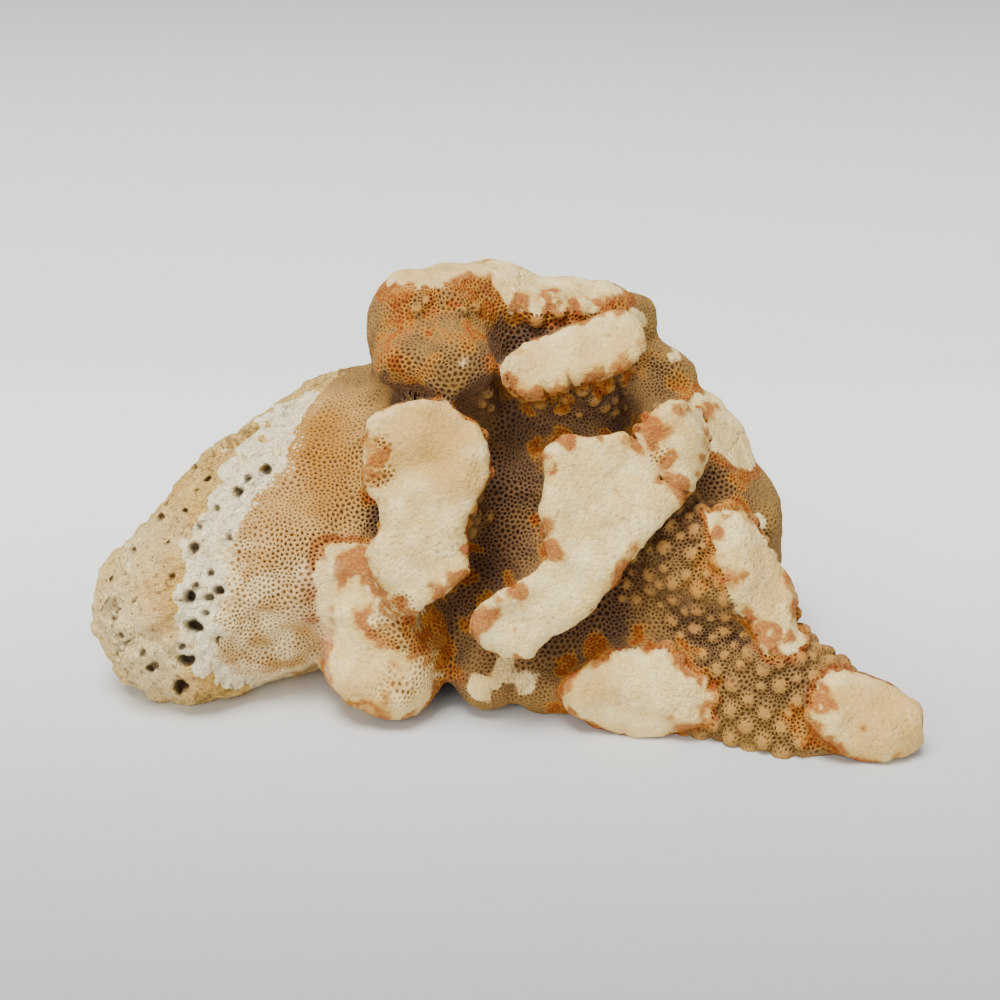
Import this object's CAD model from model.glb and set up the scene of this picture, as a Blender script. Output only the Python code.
"""A fossil coral head on a pale table: the fine skin with its cups, its stains and its bare, bored base."""

import logging
import math
from dataclasses import dataclass
from enum import Enum
from typing import Union

import bmesh
import bpy
import numpy as np
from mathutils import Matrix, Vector
from mathutils.kdtree import KDTree


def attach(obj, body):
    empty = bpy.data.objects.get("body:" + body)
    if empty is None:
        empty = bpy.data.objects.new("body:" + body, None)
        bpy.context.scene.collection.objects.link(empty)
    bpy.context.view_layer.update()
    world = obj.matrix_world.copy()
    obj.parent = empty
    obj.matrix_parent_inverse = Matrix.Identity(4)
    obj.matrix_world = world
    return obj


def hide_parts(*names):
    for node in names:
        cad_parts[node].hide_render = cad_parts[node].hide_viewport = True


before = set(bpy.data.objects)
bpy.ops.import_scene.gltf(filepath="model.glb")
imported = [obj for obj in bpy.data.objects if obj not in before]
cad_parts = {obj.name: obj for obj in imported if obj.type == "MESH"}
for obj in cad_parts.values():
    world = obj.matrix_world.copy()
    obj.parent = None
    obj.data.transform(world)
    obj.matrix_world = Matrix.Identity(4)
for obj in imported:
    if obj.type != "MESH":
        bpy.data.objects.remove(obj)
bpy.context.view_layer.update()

log = logging.getLogger("coral")
logging.basicConfig(level=logging.INFO, format="%(message)s")

MM = 0.001
FACE_LEAN = math.radians(22.0)

# The room that the head's shape is worked out in, and the spacing of the samples.
ROOM_LOW = (-82.0, -26.0, -62.0)
ROOM_HIGH = (78.0, 84.0, 36.0)
ROOM_STEP = 0.8

# How the skin is made: the first skin, and the longest step of a corner towards the surface.
FIRST_VOXEL = 1.8
LONGEST_STEP = 1.6
FIRST_STEPS = 14

Place = tuple[float, float, float]
Colour = tuple[float, float, float]
Socket = bpy.types.NodeSocket
Amount = Union[bpy.types.NodeSocket, float]
Paint = Union[bpy.types.NodeSocket, str]


@dataclass(frozen=True)
class Plane:
    """A plane through at, facing faces, and the softness of the edge that it leaves."""

    at: Place
    faces: Place
    soft: float = 2.5


@dataclass(frozen=True)
class Lobe:
    """A branch or swelling: a chain of balls (across, up, out, radius) skinned into one round form."""

    name: str
    balls: tuple[tuple[float, float, float, float], ...]
    fillet: float = 6.0
    worn: tuple[Plane, ...] = ()


@dataclass(frozen=True)
class Cap:
    """A branch end worn flat: its outline on the face, its worn planes and how it narrows."""

    name: str
    outline: tuple[tuple[float, float], ...]
    worn: tuple[Plane, ...]
    root: float
    narrows: float = 0.25
    fillet: float = 3.5
    rim: float = 2.4


@dataclass(frozen=True)
class Hollow:
    """A dip between branches: a ball taken out of the head with a soft edge."""

    at: Place
    radius: float
    fillet: float = 4.0


@dataclass(frozen=True)
class Warts:
    """Round warts on a branch, standing in a spiral between two places on its axis."""

    start: Place
    end: Place
    count: int
    radius: float


# The old skeleton that the head grew from, bare and bored at its left end, and the mass behind it.
OLD_BASE = Lobe("old_base", ((-56.2, 14.5, 1, 17.2), (-42, 24, -6, 22.6), (-30, 33, -15, 23)))
MASS = Lobe("mass", ((-15, 31, -16, 27.5), (10, 33, -16, 28.5), (24, 27, -16, 27)), 10.0)

LOBES = (
    Lobe("saddle_swelling", ((-38, 24, 2, 11), (-35, 22, 7.5, 9)), 7.0),
    Lobe("left_shoulder", ((-20, 44, -10, 12), (-28, 47.5, -9, 10)), 5.0),
    Lobe("finger_root", ((-13, 42, 2, 10.5), (-12, 34, 7, 8.5), (-16, 20, 7, 6.5)), 4.0),
    Lobe("foot_root", ((-20, 18, 2, 10), (-22, 6, 4, 9)), 5.0),
    Lobe(
        "top_left",
        ((-10, 50, -8, 14), (-14, 65, 6, 11), (-4, 68, 0, 9)),
        5.0,
        (Plane((-10.5, 76.6, 4), (-0.04, 0.93, 0.36)),),
    ),
    Lobe("top_left_bump", ((-10, 54, 6, 9), (-9.2, 57, 16.5, 6.4)), 4.0),
    Lobe("top_left_knob", ((-14, 60, 8, 9), (-18, 57.5, 15.5, 5.2)), 3.5),
    Lobe(
        "top_middle",
        ((6, 56, -8, 12), (3.8, 68.5, 3, 6.4), (16, 67, -3, 7.2)),
        4.0,
        (Plane((9, 73.3, 2), (0.1, 0.8, 0.6)),),
    ),
    Lobe("upper_ridge_root", ((10, 52, 2, 12), (12, 56, 10, 8)), 4.0),
    Lobe("back_shoulder", ((18, 56, -14, 12), (21, 66, -10, 6.4)), 4.0),
    Lobe("right_shoulder", ((22, 48, -12, 12), (28, 56.2, -11, 6.6)), 4.0),
    Lobe(
        "right_side",
        ((26, 38, -10, 14), (35, 45.5, -8, 8.2)),
        4.0,
        (Plane((39.2, 47, -5), (0.75, 0.3, 0.6)),),
    ),
    Lobe("low_right_side", ((30, 26, -14, 14), (43.5, 28.5, -13, 6)), 4.0),
    Lobe("side_knob", ((40, 30, -8, 8), (43.8, 30.3, -1, 4)), 3.0),
    Lobe("centre_root", ((12, 38, 6, 11), (14, 28, 8, 9), (4, 16, 9, 7)), 5.0),
    Lobe("knobbed", ((28, 24, 2, 13), (30, 25, 12, 8.4), (36, 20.5, 13, 8.4)), 4.0),
    Lobe("low_middle_root", ((17, 14, 2, 12), (20, 4, 7, 10)), 4.0),
    Lobe("point", ((28, 12, 0, 13), (37, 5, 9, 10.4), (46, 3, 14, 9.6), (58, -3.2, 19, 6.2)), 5.0),
    Lobe("low_lip", ((30, -1, 8, 6.4), (41, -4.5, 16, 5.6), (50, -6, 19, 5)), 4.0),
    Lobe("low_lobe_left", ((-2, 14, 0, 12), (-4, 3.4, 9.5, 5.8)), 3.5),
    Lobe("low_lobe_right", ((6, 14, -2, 11), (5.5, 1.6, 8.5, 5.1)), 3.5),
    Lobe("back_left", ((-22, 44, -20, 12), (-28, 49, -19, 8)), 5.0),
    Lobe("back_top", ((2, 52, -18, 12), (-2, 62, -18, 8)), 5.0),
    Lobe("back_right", ((22, 46, -18, 12), (26, 53, -19, 8)), 5.0),
)

CAPS = (
    Cap(
        "finger",
        (
            (-24.5, 47.5), (-21, 50), (-16.5, 50.5), (-8, 49), (-5, 47), (-4, 43), (-3.5, 38),
            (-4, 31.5), (-6, 26), (-7.5, 21.5), (-11, 18), (-16.5, 15), (-19, 16), (-22.5, 21),
            (-24.5, 25), (-22, 29.5), (-22, 33), (-24.5, 35.5), (-25.5, 40), (-25, 44),
        ),
        (
            Plane((-14, 41, 24.8), (0.02, 0.16, 0.98)),
            Plane((-13, 28, 25.2), (-0.05, -0.1, 0.98)),
            Plane((-20, 20, 23.6), (-0.45, -0.35, 0.85)),
        ),
        4.0,
    ),
    Cap(
        "foot",
        (
            (-28, 24.5), (-25, 25.5), (-22, 20.5), (-18, 15), (-14.5, 15.5), (-12, 13), (-11, 8),
            (-12, 3), (-13, -1), (-17, -3.5), (-22, -3.5), (-27, -2), (-30.5, 1), (-32.5, 5.5),
            (-31.5, 11.5), (-29.5, 17),
        ),
        (Plane((-23, 9, 18.0), (-0.3, 0.1, 0.93), 5.0), Plane((-15, 6, 17.0), (0.5, -0.1, 0.85), 4.0)),
        -4.0,
        0.12,
        4.0,
        6.0,
    ),
    Cap(
        "upper_ridge",
        (
            (-0.5, 57.5), (2, 60.5), (6.5, 62), (11.5, 64), (15.5, 65.5), (19.5, 65.5), (22, 64.5),
            (22.5, 61.5), (22.5, 59), (21, 57), (17, 54.5), (13, 53.5), (8.5, 52), (5, 50.5),
            (1.5, 50.5), (-1, 53.5),
        ),
        (Plane((12, 57, 21.5), (-0.05, 0.42, 0.9)),),
        0.0,
        0.2,
        3.5,
        3.0,
    ),
    Cap(
        "centre_ridge",
        (
            (4.5, 41), (6, 43.5), (9.5, 44.5), (14, 44.5), (18, 45), (21, 43.5), (23.5, 40),
            (25.5, 35.5), (30, 36), (25, 30), (20.5, 25.5), (16, 19.5), (11, 14), (6.5, 10.5),
            (3, 8), (-1, 7.5), (-4.5, 9.5), (-6.5, 12.5), (-5.5, 15.5), (-2, 18), (2.5, 21),
            (5.5, 24), (6, 26.5), (5, 29.5), (4.5, 32.5), (6, 36), (6, 38.5),
        ),
        (Plane((14, 34, 25.0), (0.06, 0.05, 1.0)), Plane((3, 14, 24.2), (-0.1, -0.16, 0.98))),
        6.0,
        0.2,
        3.0,
        2.0,
    ),
    Cap(
        "ridge_knob",
        (
            (21, 45), (23, 48.5), (25.5, 50.5), (28.5, 51), (31.5, 49), (33, 46), (33, 42.5),
            (32.5, 38.5), (30.5, 35.5), (26.5, 34.5), (24.5, 38), (22.5, 42),
        ),
        (Plane((25, 42, 24.0), (0.0, 0.1, 1.0)), Plane((30.5, 42.5, 21.5), (0.75, 0.15, 0.62))),
        2.0,
        0.12,
        3.0,
        2.6,
    ),
    Cap(
        "knobbed_end",
        (
            (33.5, 31), (37, 31.5), (40.5, 29), (44.5, 24), (47.5, 19), (48.5, 14), (46.5, 10.5),
            (42.5, 9.5), (40, 13), (38, 17), (36.5, 21.5), (35, 26),
        ),
        (Plane((41, 21, 20.5), (0.45, 0.3, 0.84)),),
        -2.0,
        0.15,
        4.0,
        2.4,
    ),
    Cap(
        "low_middle",
        (
            (8.5, 1), (10, 4.5), (13.5, 7), (18, 8.5), (23.5, 8.5), (28, 7), (30.5, 4.5),
            (32.5, 0.5), (32, -2.5), (29, -4.5), (25.5, -6), (21.5, -6.5), (18, -6), (13.5, -4.5),
            (10, -2),
        ),
        (Plane((20, 1, 20.5), (-0.05, 0.02, 1.0)), Plane((16, -3, 19.0), (-0.15, -0.4, 0.9))),
        -2.0,
        0.12,
        5.0,
        3.0,
    ),
    Cap(
        "point_end",
        (
            (51, -0.5), (52, 3), (55.5, 4.5), (59.5, 4.5), (64, 3), (67.5, 0.5), (68.5, -2.5),
            (68, -6), (65, -8.5), (59.5, -9.5), (55, -8.5), (52, -6), (50.5, -3.5),
        ),
        (Plane((59, 1, 25.5), (0.0, 0.4, 0.9)), Plane((61, -5, 26.5), (0.12, -0.2, 0.97))),
        12.0,
        0.25,
        3.5,
        2.6,
    ),
)

HOLLOWS = (
    Hollow((-10.5, 12.0, 17), 4.4, 2.5),
    Hollow((36, 37, 8), 4.5, 3.0),
    Hollow((-2, 30, 22), 5.0, 4.0),
    Hollow((-36, 42, 20), 9.0, 5.0),
    Hollow((-27.5, 31.5, 18), 4.0, 3.0),
    Hollow((22.5, 43.0, 27.0), 3.2, 2.0),
    Hollow((24.6, 38.6, 27.0), 3.2, 2.0),
    Hollow((6, 9.5, 16), 4.0, 2.5),
)

# The back is where the head broke off its reef: a rough, nearly upright break.
BREAK = Plane((0, 30, -37.2), (0.0, 0.375, -0.927), 12.0)

# Warts stand round some branches in a spiral, as leaves do round a stem.
GOLDEN_TURN = math.radians(137.5)
WARTS = (
    Warts((24, 27, 8), (42, 18, 13), 160, 1.6),
    Warts((32, 8, 6), (54, -1, 18), 170, 1.6),
    Warts((2, 53, 12), (20, 57, 10), 90, 1.4),
    Warts((2, 66, 0), (18, 65, -4), 60, 1.4),
    Warts((-18, 60, 6), (-6, 62, 4), 60, 1.3),
    Warts((-9, 46, 12), (-9, 26, 14), 70, 1.3),
    Warts((24, 27, 8), (42, 18, 13), 460, 1.15),
    Warts((32, 8, 6), (54, -1, 18), 460, 1.15),
    Warts((2, 53, 12), (20, 57, 10), 260, 1.05),
    Warts((2, 66, 0), (18, 65, -4), 200, 1.05),
    Warts((-18, 60, 6), (-6, 62, 4), 160, 1.0),
    Warts((-9, 46, 12), (-9, 24, 14), 260, 1.0),
    Warts((27, 50, 8), (27, 36, 10), 160, 1.0),
)
WART_ROOM = 2.0
WART_HEIGHT = 0.95
WART_SPREAD = 1.15
WORN_DEPTH = 1.2

# Holes bored into the old base: across, up and radius on its front.
BORINGS = (
    (-54, 25.8, 0.9),
    (-54, 17.5, 1.0),
    (-49.4, 18.7, 0.9),
    (-49, 10, 1.0),
    (-53.5, 12.6, 1.3),
    (-55, 6.8, 1.2),
    (-56.5, 2.4, 1.2),
    (-69, 15.6, 1.6),
    (-42.3, 38.8, 0.9),
)

# The forks of the head: each plane parts the branches behind it from the ones that it faces.
FORKS = (
    Plane((-40, 28.6, 0), (0.93, -0.29, 0.2)),
    "old_base",
    (
        Plane((-4, 31.5, 0), (0.99, -0.135, 0.0)),
        (Plane((-16, 51.2, 0), (-0.05, 1.0, 0.0)), "finger_branch", "top_left_branch"),
        (
            Plane((10, 47.8, 0), (-0.25, 0.97, 0.0)),
            (
                Plane((33, 35.5, 0), (0.741, -0.671, 0.0)),
                "centre_branch",
                (Plane((8.5, 13.5, 0), (0.13, 0.99, 0.0)), "pointed_branch", "knobbed_branch"),
            ),
            "top_right_branch",
        ),
    ),
)

# The table that the head rests on, and how far the head is moved to stand over the middle of the frame.
TABLE_HEIGHT = 0.6
CENTRE = (2.9, -9.8)

# Unevenness of the skin: the length and height of its waves, and the seed that sets them.
SWELL = (13.0, 0.5, 1)
GRAIN = (5.0, 0.22, 2)
BASE_LUMPS = (7.0, 0.5, 4)
WORN_WAVES = (8.0, 0.5, 3)
RIM_WAVES = (3.8, 0.3, 5)
WAVE_COUNT = 24


def smooth_min(a: np.ndarray, b: np.ndarray, k: float) -> np.ndarray:
    """The lesser of two distances, with a fillet k wide where they meet."""
    h = np.clip(0.5 + 0.5 * (b - a) / k, 0.0, 1.0)
    return b + (a - b) * h - k * h * (1.0 - h)


def smooth_max(a: np.ndarray, b: np.ndarray, k: float) -> np.ndarray:
    """The greater of two distances, with an edge rounded over k."""
    return -smooth_min(-a, -b, k)


def waves(across: np.ndarray, up: np.ndarray, out: np.ndarray, kind: tuple[float, float, int]) -> np.ndarray:
    """Smooth random unevenness: plane waves of about one length, going many ways.

    Args:
        across: Face coordinates to the right.
        up: Face coordinates up the face.
        out: Face coordinates out of the face.
        kind: The waves' length and height in millimetres, and the seed that sets them.

    Returns:
        The unevenness at each place.
    """
    length, height, seed = kind
    chance = np.random.default_rng(seed)
    ways = chance.normal(size=(WAVE_COUNT, 3))
    ways /= np.linalg.norm(ways, axis=1, keepdims=True)
    ways *= 2 * math.pi / (length * chance.uniform(0.75, 1.35, (WAVE_COUNT, 1)))
    phases = chance.uniform(0, 2 * math.pi, WAVE_COUNT)
    total = sum(np.sin(across * w[0] + up * w[1] + out * w[2] + p) for w, p in zip(ways, phases))
    return total * (height / math.sqrt(2 * WAVE_COUNT))


def chain_distance(across: np.ndarray, up: np.ndarray, out: np.ndarray, balls: tuple) -> np.ndarray:
    """The distance to a chain of balls, each joined to the next by a cone.

    Args:
        across: Face coordinates to the right.
        up: Face coordinates up the face.
        out: Face coordinates out of the face.
        balls: The balls, each with its place and radius.

    Returns:
        The distance of each place, less than 0 inside the chain.
    """
    nearest = None
    for start, end in zip(balls, balls[1:]):
        way = [b - a for a, b in zip(start[:3], end[:3])]
        gap = (across - start[0], up - start[1], out - start[2])
        t = sum(g * w for g, w in zip(gap, way)) / sum(w * w for w in way)
        t = np.clip(t, 0.0, 1.0)
        radius = start[3] + (end[3] - start[3]) * t
        reach = np.sqrt(sum((g - t * w) ** 2 for g, w in zip(gap, way))) - radius
        nearest = reach if nearest is None else np.minimum(nearest, reach)
    return nearest


def plane_distance(across: np.ndarray, up: np.ndarray, out: np.ndarray, plane: Plane) -> np.ndarray:
    """The signed height above a plane.

    Args:
        across: Face coordinates to the right.
        up: Face coordinates up the face.
        out: Face coordinates out of the face.
        plane: The plane.

    Returns:
        The height of each place, less than 0 behind the plane.
    """
    size = math.sqrt(sum(c * c for c in plane.faces))
    gaps = (across - plane.at[0], up - plane.at[1], out - plane.at[2])
    return sum(g * (c / size) for g, c in zip(gaps, plane.faces))


def outline_distance(across: np.ndarray, up: np.ndarray, outline: tuple) -> np.ndarray:
    """The distance to an outline on the face.

    Args:
        across: Face coordinates to the right.
        up: Face coordinates up the face.
        outline: The outline's corners.

    Returns:
        The distance of each place, less than 0 inside the outline.
    """
    nearest = np.full(np.broadcast(across, up).shape, np.inf)
    inside = np.zeros(nearest.shape, bool)
    for (ax, ay), (bx, by) in zip(outline, outline[1:] + outline[:1]):
        ex, ey = bx - ax, by - ay
        t = np.clip(((across - ax) * ex + (up - ay) * ey) / (ex * ex + ey * ey), 0.0, 1.0)
        nearest = np.minimum(nearest, np.hypot(across - ax - t * ex, up - ay - t * ey))
        if ey:
            spans = (ay > up) != (by > up)
            inside = inside ^ (spans & (across < ax + (up - ay) * ex / ey))
    return np.where(inside, -nearest, nearest)


def lobe_distance(
    across: np.ndarray, up: np.ndarray, out: np.ndarray, lobe: Lobe, uneven: np.ndarray
) -> np.ndarray:
    """The distance to a round branch with its worn places taken off.

    Args:
        across: Face coordinates to the right.
        up: Face coordinates up the face.
        out: Face coordinates out of the face.
        lobe: The branch.
        uneven: The unevenness of its worn places.

    Returns:
        The distance of each place, less than 0 inside the branch.
    """
    distance = chain_distance(across, up, out, lobe.balls)
    for plane in lobe.worn:
        distance = smooth_max(distance, plane_distance(across, up, out, plane) + uneven, plane.soft)
    return distance


def cap_distance(
    across: np.ndarray, up: np.ndarray, out: np.ndarray, cap: Cap, uneven: np.ndarray, ragged: np.ndarray
) -> np.ndarray:
    """The distance to a branch end worn flat.

    Args:
        across: Face coordinates to the right.
        up: Face coordinates up the face.
        out: Face coordinates out of the face.
        cap: The branch end.
        uneven: The unevenness of its worn top.
        ragged: The unevenness of its outline.

    Returns:
        The distance of each place, less than 0 inside the branch end.
    """
    top = None
    for plane in cap.worn:
        height = plane_distance(across, up, out, plane) + uneven
        top = height if top is None else smooth_max(top, height, plane.soft)
    side = outline_distance(across, up, cap.outline) + ragged - 0.6
    body = smooth_max(side + np.maximum(-top, 0.0) * cap.narrows, top, cap.rim)
    return smooth_max(body, cap.root - out, 4.0)


class Field:
    """A distance to a surface, sampled through the room and read between its samples."""

    def __init__(self, low: Place, step: float, values: np.ndarray):
        """Keeps the samples.

        Args:
            low: The room's lowest corner.
            step: The spacing of the samples.
            values: The distance at each sample.
        """
        self.low = np.asarray(low, float)
        self.step = step
        self.values = values

    def at(self, points: np.ndarray) -> np.ndarray:
        """The distances at some points.

        Args:
            points: The points, one row each.

        Returns:
            The distance read between the eight samples round each point.
        """
        place = (points - self.low) / self.step
        cell = np.clip(np.floor(place).astype(int), 0, np.array(self.values.shape) - 2)
        share = np.clip(place - cell, 0.0, 1.0)
        total = np.zeros(len(points))
        for corner in np.ndindex(2, 2, 2):
            weight = np.prod(np.where(corner, share, 1.0 - share), axis=1)
            total += weight * self.values[tuple((cell + corner).T)]
        return total

    def slope(self, points: np.ndarray) -> np.ndarray:
        """The unit directions in which the distance grows.

        Args:
            points: The points, one row each.

        Returns:
            A direction for each point.
        """
        steps = np.eye(3) * self.step * 0.6
        rise = np.stack([self.at(points + s) - self.at(points - s) for s in steps], axis=1)
        return rise / np.maximum(np.linalg.norm(rise, axis=1, keepdims=True), 1e-9)

    def block(self, centre: Place, reach: float) -> tuple[tuple, tuple]:
        """The samples within reach of a place.

        Args:
            centre: The place.
            reach: How far around it the samples lie.

        Returns:
            The slices of the samples, and their coordinates as counts of steps.
        """
        middle = np.asarray(centre) - self.low
        first = np.maximum(((middle - reach) / self.step).astype(int), 0)
        last = np.minimum(((middle + reach) / self.step).astype(int) + 2, self.values.shape)
        slices = tuple(slice(a, b) for a, b in zip(first, last))
        return slices, np.ogrid[slices]

    def take_ball(self, hollow: Hollow) -> None:
        """Takes a ball with a soft edge out of the shape.

        Args:
            hollow: The ball.
        """
        slices, grid = self.block(hollow.at, hollow.radius + 3.0)
        gaps = [g * self.step + low - c for g, low, c in zip(grid, self.low, hollow.at)]
        reach = np.sqrt(sum(g * g for g in gaps)) - hollow.radius
        self.values[slices] = smooth_max(self.values[slices], -reach, hollow.fillet)

    def first_surface(
        self, starts: np.ndarray, ways: np.ndarray, reach: float
    ) -> tuple[np.ndarray, np.ndarray]:
        """Where rays first cross the surface.

        Args:
            starts: Where the rays start.
            ways: Their directions.
            reach: How long they are.

        Returns:
            The crossing of each ray, and whether it has one.
        """
        steps = np.arange(0.0, reach, 0.4)
        heights = np.stack([self.at(starts + ways * t) for t in steps], axis=1)
        crossed = (heights[:, 1:] > 0) != (heights[:, :-1] > 0)
        first = crossed.argmax(axis=1)
        rows = np.arange(len(starts))
        before, after = heights[rows, first], heights[rows, first + 1]
        share = before / np.where(crossed.any(axis=1), before - after, 1.0)
        return starts + ways * (steps[first] + 0.4 * share)[:, None], crossed.any(axis=1)


def bare_field() -> Field:
    """Works out the head's shape without its warts and borings.

    Returns:
        The shape, sampled through the room.
    """
    axes = [np.arange(low, high, ROOM_STEP) for low, high in zip(ROOM_LOW, ROOM_HIGH)]
    across, up, out = np.meshgrid(*axes, indexing="ij", sparse=True)
    uneven = waves(across, up, out, WORN_WAVES)
    ragged = waves(across, up, out, RIM_WAVES)
    old = chain_distance(across, up, out, OLD_BASE.balls)
    distance = smooth_min(old, chain_distance(across, up, out, MASS.balls), MASS.fillet)
    for lobe in LOBES:
        distance = smooth_min(distance, lobe_distance(across, up, out, lobe, uneven), lobe.fillet)
    for cap in CAPS:
        distance = smooth_min(distance, cap_distance(across, up, out, cap, uneven, ragged), cap.fillet)
    distance = smooth_max(distance, plane_distance(across, up, out, BREAK) + uneven, BREAK.soft)
    bare = np.clip(1.0 - (old - distance) / 4.0, 0.0, 1.0)
    distance = distance + waves(across, up, out, SWELL) + waves(across, up, out, GRAIN)
    field = Field(ROOM_LOW, ROOM_STEP, distance + waves(across, up, out, BASE_LUMPS) * bare)
    for hollow in HOLLOWS:
        field.take_ball(hollow)
    return field


def worn_height(points: np.ndarray) -> np.ndarray:
    """How far points stand below the worn plane of the branch that they are on.

    Args:
        points: Face places, one row each.

    Returns:
        The heights in millimetres, 9 where no worn plane is near.
    """
    across, up, out = points.T
    lowest = np.full(len(points), 9.0)
    for cap in CAPS:
        near = outline_distance(across, up, cap.outline) < 1.0
        for plane in cap.worn:
            lowest = np.where(near, np.minimum(lowest, -plane_distance(across, up, out, plane)), lowest)
    for lobe in LOBES:
        near = chain_distance(across, up, out, lobe.balls) < 1.5
        for plane in lobe.worn:
            lowest = np.where(near, np.minimum(lowest, -plane_distance(across, up, out, plane)), lowest)
    return lowest


def wart_places(field: Field) -> list[tuple[np.ndarray, float]]:
    """Finds the warts' places, leaving out the worn ones.

    Args:
        field: The head's shape.

    Returns:
        Each wart's place on the surface and its radius.
    """
    centres = []
    for warts in WARTS:
        start, end = np.array(warts.start, float), np.array(warts.end, float)
        axis = (end - start) / np.linalg.norm(end - start)
        side = np.cross(axis, (0.0, 0.0, 1.0))
        side /= np.linalg.norm(side)
        order = np.arange(warts.count)[:, None]
        turn = order * GOLDEN_TURN
        ways = np.cos(turn) * side + np.sin(turn) * np.cross(axis, side)
        found, hit = field.first_surface(start + (end - start) * (order + 0.5) / warts.count, ways, 16.0)
        found = found[hit & (worn_height(found) > WORN_DEPTH)]
        for place in found:
            if all(np.linalg.norm(place - c[0]) > WART_ROOM * warts.radius for c in centres):
                centres.append((place, warts.radius))
    return centres


def add_prism(made: bmesh.types.BMesh, cap: Cap) -> None:
    """Adds a block that fills a worn branch end, from its root to just under its worn top.

    Args:
        made: The mesh to add it to.
        cap: The branch end.
    """
    rings = []
    for out in (cap.root, min(plane.at[2] for plane in cap.worn) - 1.5):
        rings.append([made.verts.new((across, up, out)) for across, up in cap.outline])
    low, high = rings
    for a, b, c, d in zip(low, low[1:] + low[:1], high[1:] + high[:1], high):
        made.faces.new((a, b, c, d))
    made.faces.new(low)
    made.faces.new(high)


def ball_stack() -> bpy.types.Mesh:
    """Stacks balls and blocks so that they lie near every branch.

    Returns:
        The stack as one mesh, in millimetres.
    """
    mesh = bpy.data.meshes.new("balls")
    made = bmesh.new()
    for cap in CAPS:
        add_prism(made, cap)
    bmesh.ops.recalc_face_normals(made, faces=made.faces)
    for lobe in (OLD_BASE, MASS) + LOBES:
        for start, end in zip(lobe.balls, lobe.balls[1:]):
            a, b = Vector(start[:3]), Vector(end[:3])
            count = max(2, int((b - a).length / (0.5 * min(start[3], end[3]))) + 1)
            for t in np.linspace(0.0, 1.0, count):
                radius = start[3] + (end[3] - start[3]) * t
                ball = bmesh.ops.create_icosphere(made, subdivisions=2, radius=radius)
                bmesh.ops.translate(made, verts=ball["verts"], vec=a.lerp(b, t))
    made.to_mesh(mesh)
    made.free()
    return mesh


def evaluated(obj: bpy.types.Object) -> bpy.types.Mesh:
    """The object's mesh with its modifiers applied, as a new mesh."""
    graph = bpy.context.evaluated_depsgraph_get()
    return bpy.data.meshes.new_from_object(obj.evaluated_get(graph))


def remeshed(mesh: bpy.types.Mesh, voxel: float) -> bpy.types.Mesh:
    """Remeshes a mesh evenly.

    Args:
        mesh: The mesh.
        voxel: The spacing of the new corners.

    Returns:
        The new mesh.
    """
    obj = bpy.data.objects.new("worked", mesh)
    bpy.context.scene.collection.objects.link(obj)
    modifier = obj.modifiers.new("worked", "REMESH")
    modifier.mode = "VOXEL"
    modifier.voxel_size = voxel
    bpy.context.view_layer.update()
    made = evaluated(obj)
    bpy.data.objects.remove(obj)
    return made


# The fine skins: the bare base's voxel, and the voxel and cup spacing of the crown, in millimetres.
BASE_VOXEL = 0.36
CROWN_VOXEL = 0.3
CUP_SPACING = 1.1
WART_CUPS = 1.5
RELAX_ROUNDS = 5
BASE_LAP = 2.0
BASE_SINK = 0.25

# Cups: their depth in millimetres, their mouth's share of a cell and their floor's share of the mouth.
CUP_DEPTH = 0.48
CUP_MOUTH = 0.65
CUP_FLOOR = 0.74
SHALLOWEST = 0.07
REACH = 8.0

# How deep the pieces' edges are tucked in.
TUCK = 1.2


class Branch(Enum):
    """The nodes of the crown, in the order of the numbers that the cells carry."""

    FINGER = "finger_branch"
    TOP_LEFT = "top_left_branch"
    CENTRE = "centre_branch"
    POINTED = "pointed_branch"
    KNOBBED = "knobbed_branch"
    TOP_RIGHT = "top_right_branch"


@dataclass(frozen=True)
class Spot:
    """A round soft patch on the front of the head: its place, its radius in millimetres and its strength."""

    across: float
    up: float
    radius: float
    strength: float = 1.0


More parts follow.
